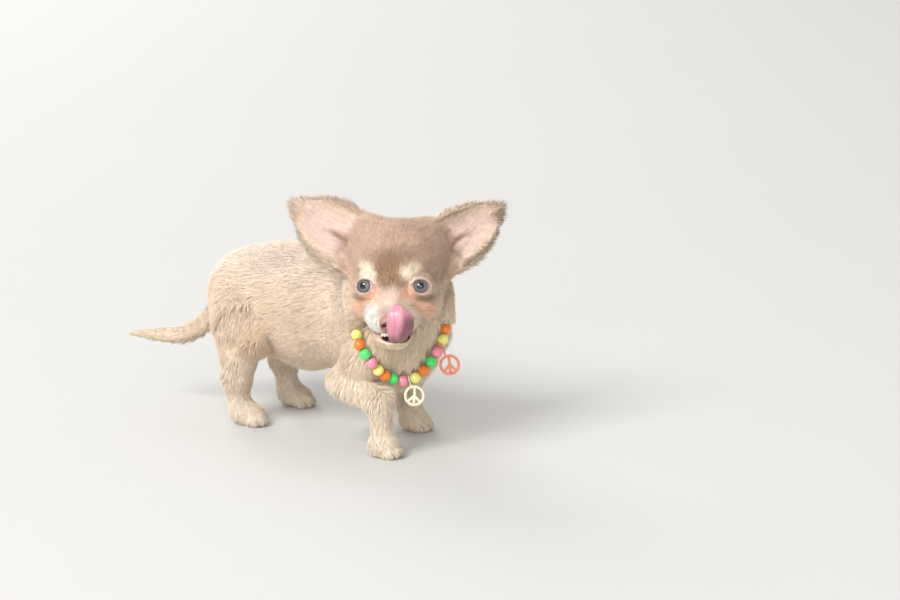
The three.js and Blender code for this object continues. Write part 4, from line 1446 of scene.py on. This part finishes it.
def noseField(p):
    x, z = build["noseAt"][::2]
    d = meet(*noseBall(p), 1.6)
    d = d + 0.55 * np.exp(-(p[1] / 0.55) ** 2) * ease(x - 1, x + 3, p[0]) * ease(z + 2, z - 3, p[2])
    front = (x + 5.6, 2.5, z - 1.4)
    slit = limb(front, (x + 1.6, 6.3, z - 2.9), 1.45, 0.7)
    hole = limb(front, (x + 0.5, 2.9, z - 1.2), 1.3, 1.0)
    folded = heading(p[0], np.abs(p[1]), p[2])
    return carve(d, np.minimum(slit(folded), hole(folded)), 0.7)


def makeNose():
    steps = noseLook["cell"] * np.arange(45)
    axes = [steps + middle - 8.5 for middle in build["noseAt"]]
    places, quads = surfaceOf(noseField, axes)
    skin, pale, dark = colours(noseLook, "skin", "pale", "dark")
    height = places[2] - build["noseAt"][2]
    tint = mix(skin, pale, ease(-1, 4, height) * 0.6)
    # painted shade in the nostrils, where the surface lies inside the ball of the nose
    tint = mix(tint, dark, ease(-0.35, -1.6, np.minimum(*noseBall(places))))
    material, tree, shader = newMaterial("nose leather", noseFinish)
    tintedColour(tree, shader, grainNode(tree, 700, 3), 0.85, 1.12)
    cells = tree.nodes.new("ShaderNodeTexVoronoi")
    cells.inputs["Scale"].default_value = 1500
    coords = tree.nodes.new("ShaderNodeTexCoord")
    tree.links.new(coords.outputs["Object"], cells.inputs["Vector"])
    bumpFrom(tree, shader, cells.outputs["Distance"], 0.6, 0.0003)
    addPiece("nose_leather", fromHead((places, quads)), material, ["nose"], tint)


makeNose()
print("nose made", flush=True)

# Tongue, out over the lower lip and up over the left half of the nose

tongue = {
    "line": [(30, 2, -46), (42, 4, -47.5), (50.5, 5.0, -48), (56.6, 6.0, -44), (59.0, 6.8, -37.5),
             (58.4, 6.6, -31.4), (55.6, 6.0, -27.4), (51.0, 5.2, -25.4)],
    "stations": 64,
    "sides": 48,
    "halfWide": 8.6,
    "halfThick": 1.9,
    "groove": 0.5,
    "grooveAt": -0.30,  # share of the half width, to the right of the middle
    "roll": 3.4,  # how far its left edge rolls back round the nose
    "top": (0.80, 0.35, 0.43),
    "middle": (0.66, 0.25, 0.33),
    # edge: painted shade on the tongue's left side and lower part; root: painted shade inside the mouth
    "edge": (0.20, 0.065, 0.085),
    "root": (0.30, 0.08, 0.09),
}
tongueFinish = {
    "Roughness": 0.34,
    "Subsurface Weight": 0.15,
    "Subsurface Radius": (0.0015, 0.0006, 0.0005),
    "Coat Weight": 0.45,
    "Coat Roughness": 0.16,
}


def roundEnd(t, start, power, least):  # 1 up to the start of the rounding, 0 at the tip
    return math.sqrt(max(1 - max(0, (t - start) / (1 - start)) ** power, least))


def tongueRing(t, c, s):  # across and up from the line, at the share t of its length
    right, left = roundEnd(t, 0.74, 2.6, 0.0004), roundEnd(t, 0.66, 2.4, 0.0004)
    waist = 1 - 0.28 * ease(0.66, 0.42, t)
    half = tongue["halfWide"] * np.where(c > 0, left * 1.1, right * 0.92) * waist
    thick = tongue["halfThick"] * (0.35 + 0.65 * roundEnd(t, 0.7, 2, 0))
    thick *= min(1, tongue["halfWide"] * right / 4)
    shown = math.sin(math.pi * min(t, 0.94) / 0.94) ** 0.5
    dip = tongue["groove"] * np.exp(-((c - tongue["grooveAt"]) / 0.14) ** 2) * shown
    outer = np.sign(s) * np.abs(s) ** 0.8 * thick + np.where(s < 0, dip, -dip * 0.4)
    curl = tongue["roll"] * ease(0.15, 1.1, c) * ease(0.3, 0.6, t) + 0.9 * np.abs(c) ** 3
    return c * half, outer + curl


def tongueTint(t, c):
    top, middle, edge, root = colours(tongue, "top", "middle", "edge", "root")
    shade = mix(top, middle, ease(0.93, 0.55, t + 0.15 * c))
    # painted shade: the edge colour darkens the left side and the lower part near the lip
    dark = np.maximum(ease(-0.1, 0.5, c + 0.68 - t) * ease(0.9, 0.7, t), ease(0.58, 0.44, t))
    shade = mix(shade, edge, dark * 0.92)
    streak = np.sin(c * 23 + 0.9 * math.sin(t * 9)) + np.sin(c * 37 + 2 + t * 3)
    shade = shade * (1 + 0.05 * streak * ease(0.1, 0.5, t))
    # painted shade along the groove
    shade = shade * (1 - 0.22 * np.exp(-((c - tongue["grooveAt"]) / 0.08) ** 2))
    # painted shade inside the mouth, at the root
    return mix(root, shade, ease(0.30, 0.52, t))


def makeTongue():
    line = curveThrough(tongue["line"], tongue["stations"])
    ways = unit(np.gradient(line, axis=1))
    turn = np.arange(tongue["sides"]) / tongue["sides"] * 2 * math.pi
    c, s = np.cos(turn), np.sin(turn)
    rings, tints = [], []
    for n, t in enumerate(np.linspace(0, 0.996, tongue["stations"])):
        way = ways[:, [n]]
        across = column((0, 1, 0))
        across = unit(across - way * dot(across, way))
        out, risen = tongueRing(t, c, s)
        rings.append(line[:, [n]] + across * out + cross(way, across) * risen)
        tints.append(tongueTint(t, c))
    tints = np.hstack(tints + colours(tongue, "root", "top"))
    material, tree, shader = newMaterial("wet tongue", tongueFinish)
    grain = grainNode(tree, 1300, 4)
    tintedColour(tree, shader, grain, 0.86, 1.1)
    bumpFrom(tree, shader, grain, 0.6, 0.0004)
    addPiece("licking_tongue", fromHead(loft(rings)), material, ["tongue"], tints)


makeTongue()
print("tongue made", flush=True)

# Milk teeth that show at the right corner of the mouth

teeth = {
    "at": [(42.6, -5.4, -45.2), (43.8, -3.6, -45.4), (44.7, -1.6, -45.5)],
    "wide": 1.15,
    "long": 3.2,
    "colour": (0.90, 0.80, 0.74),
}


def makeTeeth():
    shapes = []
    for n, at in enumerate(teeth["at"]):
        rings = []
        for t in np.linspace(0, 1, 9):
            radius = teeth["wide"] * math.sqrt(max(1 - t ** 2.4, 0.02))
            middle = column(at) + column((0.5 * t, 0, 1.0 - teeth["long"] * (1 - 0.12 * n) * t))
            rings.append(oval(middle, column((0, 1, 0)), column((1, 0, 0)), radius, radius * 0.7, 14))
        shapes.append(loft(rings))
    material = hornMaterial("milk teeth", teeth["colour"], 0.2, 900)
    addPiece("milk_teeth", fromHead(joined(shapes)), material)


# Claws and pads

paws = {"clawLong": 4.2, "clawWide": 0.95, "claw": (0.42, 0.33, 0.26), "pad": (0.40, 0.235, 0.20)}


def clawShape(toe, spread):
    t = np.linspace(0, 1, 7)
    long = paws["clawLong"]
    root = column(toe) + column((2.6, spread * 4, 0.6))
    line = root + np.stack([long * t, long * spread * t, 0.5 * t - 3 * t ** 2])
    line[2] = np.maximum(line[2], 0.5)
    return tube(line, paws["clawWide"] * np.sqrt(1.02 - t) * np.array([1, 1, 1, 0.95, 0.9, 0.8, 1]), 10)


def padShape(x, y, halfLong, halfWide):
    rings = []
    for rise in np.arange(7) / 6:
        share = math.sin(math.pi / 2 * (0.72 + 0.28 * (1 - abs(1 - 2 * rise))))
        middle, forward, left = column((x, y, 0.05 + 2.2 * rise)), column((1, 0, 0)), column((0, 1, 0))
        rings.append(oval(middle, forward, left, halfLong * share, halfWide * share, 20))
    return loft(rings)


def makePaws():
    claws, pads = [], []
    for leg in legs.values():
        for n, toe in enumerate(toesOf(leg)):
            claws.append(clawShape(toe, (n - 1.5) * 0.12))
            pads.append(padShape(toe[0] - 0.6, toe[1], 2.5, 1.9))
        x, y = leg["toes"][:2]
        pads.append(padShape(x - 0.5, y, 4.2, 4.0))
    addPiece("claws", joined(claws), hornMaterial("horn claws", paws["claw"], 0.38, 900))
    addPiece("paw_pads", joined(pads), hornMaterial("leather pads", paws["pad"], 0.65, 700))


makeTeeth()
makePaws()
print("teeth, claws and pads made", flush=True)

# Whiskers

whisker = {"rows": 3, "each": 3, "long": (10, 16), "radius": 0.075, "colour": (0.90, 0.85, 0.78)}


def makeWhiskers():
    hairs = []
    for side in (-1, 1):
        for row in range(whisker["rows"]):
            for n in range(whisker["each"]):
                start = column((39.5 - 2.7 * n, side * 12, -33.5 - 3 * row))
                for step in range(6):  # down onto the skin
                    at = toBody(headPlace, start)
                    slope = unit(slopeOf(skinField, at))
                    start = start - headPlace["turn"].T @ (slope * (skinField(at) + 0.4))
                way = unit(column((0.25 - 0.16 * n, side * 0.9, -0.12 - 0.16 * row + draw.normal(0, 0.06))))
                long = draw.uniform(*whisker["long"])
                t = np.linspace(0, 1, 9)
                bow = column((-0.35, side * 0.1, -0.55)) * long * 0.35
                line = start + way * long * t + bow * t ** 2
                hairs.append(tube(toBody(headPlace, line), whisker["radius"] * (1.02 - t), 5))
    material = hornMaterial("pale whiskers", whisker["colour"], 0.4, 300)
    addPiece("whiskers", joined(hairs), material)


makeWhiskers()
print("whiskers made", flush=True)

# Necklace: plastic beads, two ring charms and their elastic

beadLook = {
    "yellow": (0.90, 0.87, 0.25),
    "orange": (1.0, 0.235, 0.03),
    "green": (0.085, 0.80, 0.17),
    "pink": (0.94, 0.31, 0.42),
}
lowestBead = 15  # the pink one at the bottom of the row; the order of the colours counts from it
plasticFinish = {
    "Roughness": 0.24,
    "Subsurface Weight": 0.12,
    "Subsurface Radius": (0.002, 0.002, 0.002),
    "Coat Weight": 0.3,
    "Coat Roughness": 0.1,
}


def plasticMaterial(name, colour, roughness):
    material, tree, shader = newMaterial(name, {**plasticFinish, "Roughness": roughness})
    grainedColour(tree, shader, grainNode(tree, 220, 3), colour, 0.88, 1.06, 0.01)
    bumpFrom(tree, shader, grainNode(tree, 1400, 4), 0.08, 0.0002)
    return material


def beadShape(n):  # a ball slightly short along the string, with a hole and a faint moulding line
    last = beadMiddles.shape[1] - 1
    way = unit(beadMiddles[:, [min(n + 1, last)]] - beadMiddles[:, [max(n - 1, 0)]])
    wide = unit(cross(way, column((0.2, 0.3, 0.93))))
    up = cross(way, wide)
    radius, half, hole = necklace["beadWide"] / 2, necklace["beadLong"] / 2, necklace["hole"]
    steep = math.asin(half / radius)
    profile = [(hole * 0.75, 1.2 - half), (hole * 0.8, 0.15 - half)]
    for turn in np.linspace(-steep, steep, 17):
        line = 1 + 0.012 * math.exp(-(turn / 0.05) ** 2)
        profile.append((max(radius * math.cos(turn) * line, hole), radius * math.sin(turn)))
    profile += [(r, -z) for r, z in profile[1::-1]]
    return loft([oval(beadMiddles[:, [n]] + way * z, wide, up, r, r, 28) for r, z in profile])


def makeBeads():
    for colour, name in enumerate(beadLook):
        mine = [n for n in range(len(beadNames)) if (n - lowestBead - 1) % 4 == colour]
        shape = joined([beadShape(n) for n in mine])
        material = plasticMaterial(name + " plastic", beadLook[name], plasticFinish["Roughness"])
        addPiece("beads_" + name, shape, material, [beadNames[n] for n in mine])


charm = {
    "radius": 7.0,
    "thick": 1.6,
    "bar": 1.9,
    "barThick": 1.25,
    "turn": 0.37,  # of the bars, so that they stand upright
    "bailRadius": 2.0,
    "bailWire": 0.5,
    "facing": (0.48, -0.83, 0.29),
    "cream": {"after": 0, "swing": (4.5, -1, -10.5), "colour": (0.86, 0.80, 0.60)},
    "orange": {"after": 4, "swing": (7.2, 0, -12.2), "colour": (0.92, 0.285, 0.165)},
}


def hoop(middle, wide, up, radius, out, halfBar, halfThick, stations, sides, square=1.0):
    ways = [wide * math.cos(a) + up * math.sin(a) for a in np.arange(stations) / stations * 2 * math.pi]
    rings = [oval(middle + way * radius, way, out, halfBar, halfThick, sides, square) for way in ways]
    return loft(rings[::-1], loop=True)


def charmShape(after, swing):
    n = lowestBead + after
    before, behind = beadMiddles[:, [n]], beadMiddles[:, [n + 1]]
    hook = (before + behind) / 2
    ahead = unit(behind - before)
    down = unit(column(swing))
    middle = hook + column(swing)
    out = column(charm["facing"])
    out = unit(out - down * dot(out, down))
    wide = cross(down, out)
    bar, thick, rim = charm["bar"] / 2, charm["thick"] / 2, charm["radius"] - charm["bar"] / 2
    shapes = [hoop(middle, wide, down, rim, out, bar, thick, 64, 16, 0.7)]
    for turn, low in ((0, -rim), (0.75 * math.pi, 0), (-0.75 * math.pi, 0)):
        turn = turn + charm["turn"]
        way = down * -math.cos(turn) - wide * math.sin(turn)
        ends = [middle + way * mix(low, rim, t) for t in np.linspace(0, 1, 5)]
        across = cross(way, out)
        shapes.append(loft([oval(p, out, across, charm["barThick"] / 2, bar, 16, 0.6) for p in ends]))
    below = unit(down - ahead * dot(down, ahead))
    radius, wire = charm["bailRadius"], charm["bailWire"]
    shapes.append(hoop(hook, below, cross(ahead, below), radius, ahead, wire, wire, 28, 10))
    top, bottom = hook + below * radius, middle - down * rim
    stem = np.hstack([mix(top, bottom, t) for t in np.linspace(0, 1, 6)])
    shapes.append(tube(stem, np.full(6, wire * 1.2), 10))
    return joined(shapes)


def makeCharms():
    for name in ("cream", "orange"):
        made = charm[name]
        material = plasticMaterial(name + " charm plastic", made["colour"], 0.3)
        shape = charmShape(made["after"], made["swing"])
        addPiece("ring_charm_" + name, shape, material, ["charm_" + name])


makeBeads()
makeCharms()
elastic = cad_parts["string"].data.materials
elastic.clear()
elastic.append(hornMaterial("pale elastic", necklace["elastic"], 0.45, 500))
print("necklace made", flush=True)

# Floor, lights and camera

studio = {
    "floor": (0.66, 0.655, 0.635),
    "halfFloor": 7000.0,
    "rise": 1800.0,  # radius of the floor's bend up into the background
    "sky": 0.56,
    "key": {"power": 240.0, "size": 2.4, "at": (-2900, 3000, 3000)},  # right, towards the camera, up
    "fill": {"power": 60.0, "size": 3.0, "at": (-400, 4200, 700)},
    "rim": {"power": 45.0, "size": 2.0, "at": (-1200, -2800, 2600)},
}
view = {
    "azimuth": 30.0,
    "elevation": 17.0,
    "distance": 2200.0,
    "perPixel": 0.69,  # millimetres at that distance
    "frame": (900, 600),
    "feet": (335, 423),  # pixel of the middle of the puppy's frame on the floor
    "sensor": 36.0,
}


def cameraWays():  # right, up and back towards the camera
    a, e = math.radians(view["azimuth"]), math.radians(view["elevation"])
    right = column((math.cos(a), math.sin(a), 0))
    up = column((-math.sin(a) * math.sin(e), math.cos(a) * math.sin(e), math.cos(e)))
    back = column((math.sin(a) * math.cos(e), -math.cos(a) * math.cos(e), math.sin(e)))
    return right, up, back


def metres(p):
    return Vector(inPart(p)[:, 0])


def aim(thing, at, target):
    thing.location = metres(at)
    thing.rotation_euler = (metres(target) - metres(at)).to_track_quat("-Z", "Y").to_euler()


def makeFloor():
    half, rise = studio["halfFloor"], studio["rise"]
    right, back = cameraWays()[::2]
    flat = unit(back * column((1, 1, 0)))
    rows = [flat * half]
    for turn in np.arange(25) / 24 * math.pi / 2:
        away = -flat * (half * 0.55 + rise * math.sin(turn))
        rows.append(away + column((0, 0, rise * (1 - math.cos(turn)))))
    rows.append(rows[-1] + column((0, 0, half)))
    places = np.hstack([row + right * side * half for row in rows for side in (-1, 1)])
    faces = [[2 * i, 2 * i + 1, 2 * i + 3, 2 * i + 2] for i in range(len(rows) - 1)]
    floor = addMesh("studio_floor", places, faces)
    material, tree, shader = newMaterial("studio floor", {"Roughness": 0.85})
    grainedColour(tree, shader, grainNode(tree, 2.0, 2), studio["floor"], 1.0, 0.97)
    floor.data.materials.append(material)


def makeLights():
    right, back = cameraWays()[::2]
    middle = column((0, -10, 80))
    for name in ("key", "fill", "rim"):
        across, towards, above = studio[name]["at"]
        lamp = bpy.data.lights.new(name + " light", "AREA")
        lamp.energy = studio[name]["power"]
        lamp.size = studio[name]["size"]
        thing = bpy.data.objects.new(name + " light", lamp)
        bpy.context.scene.collection.objects.link(thing)
        aim(thing, middle + right * across + back * towards + column((0, 0, above)), middle)
    world = bpy.data.worlds.new("studio")
    world.use_nodes = True
    sky = world.node_tree.nodes["Background"]
    setSockets(sky, {"Color": (1.0, 0.985, 0.965, 1), "Strength": studio["sky"]})
    bpy.context.scene.world = world


def makeCamera():
    right, up, back = cameraWays()
    wide, high = view["frame"]
    across = (wide / 2 - view["feet"][0]) * view["perPixel"]
    above = (view["feet"][1] - high / 2) * view["perPixel"]
    at, target = back * view["distance"], right * across + up * above
    lens = bpy.data.cameras.new("view of the puppy")
    reach = float(length(at - target)[0])
    lens.lens = view["sensor"] / (wide * view["perPixel"]) * reach
    lens.sensor_width = view["sensor"]
    camera = bpy.data.objects.new("view of the puppy", lens)
    bpy.context.scene.collection.objects.link(camera)
    aim(camera, at, target)
    bpy.context.scene.camera = camera


makeFloor()
makeLights()
makeCamera()
bpy.context.scene.view_settings.view_transform = "Standard"
print("studio ready", flush=True)
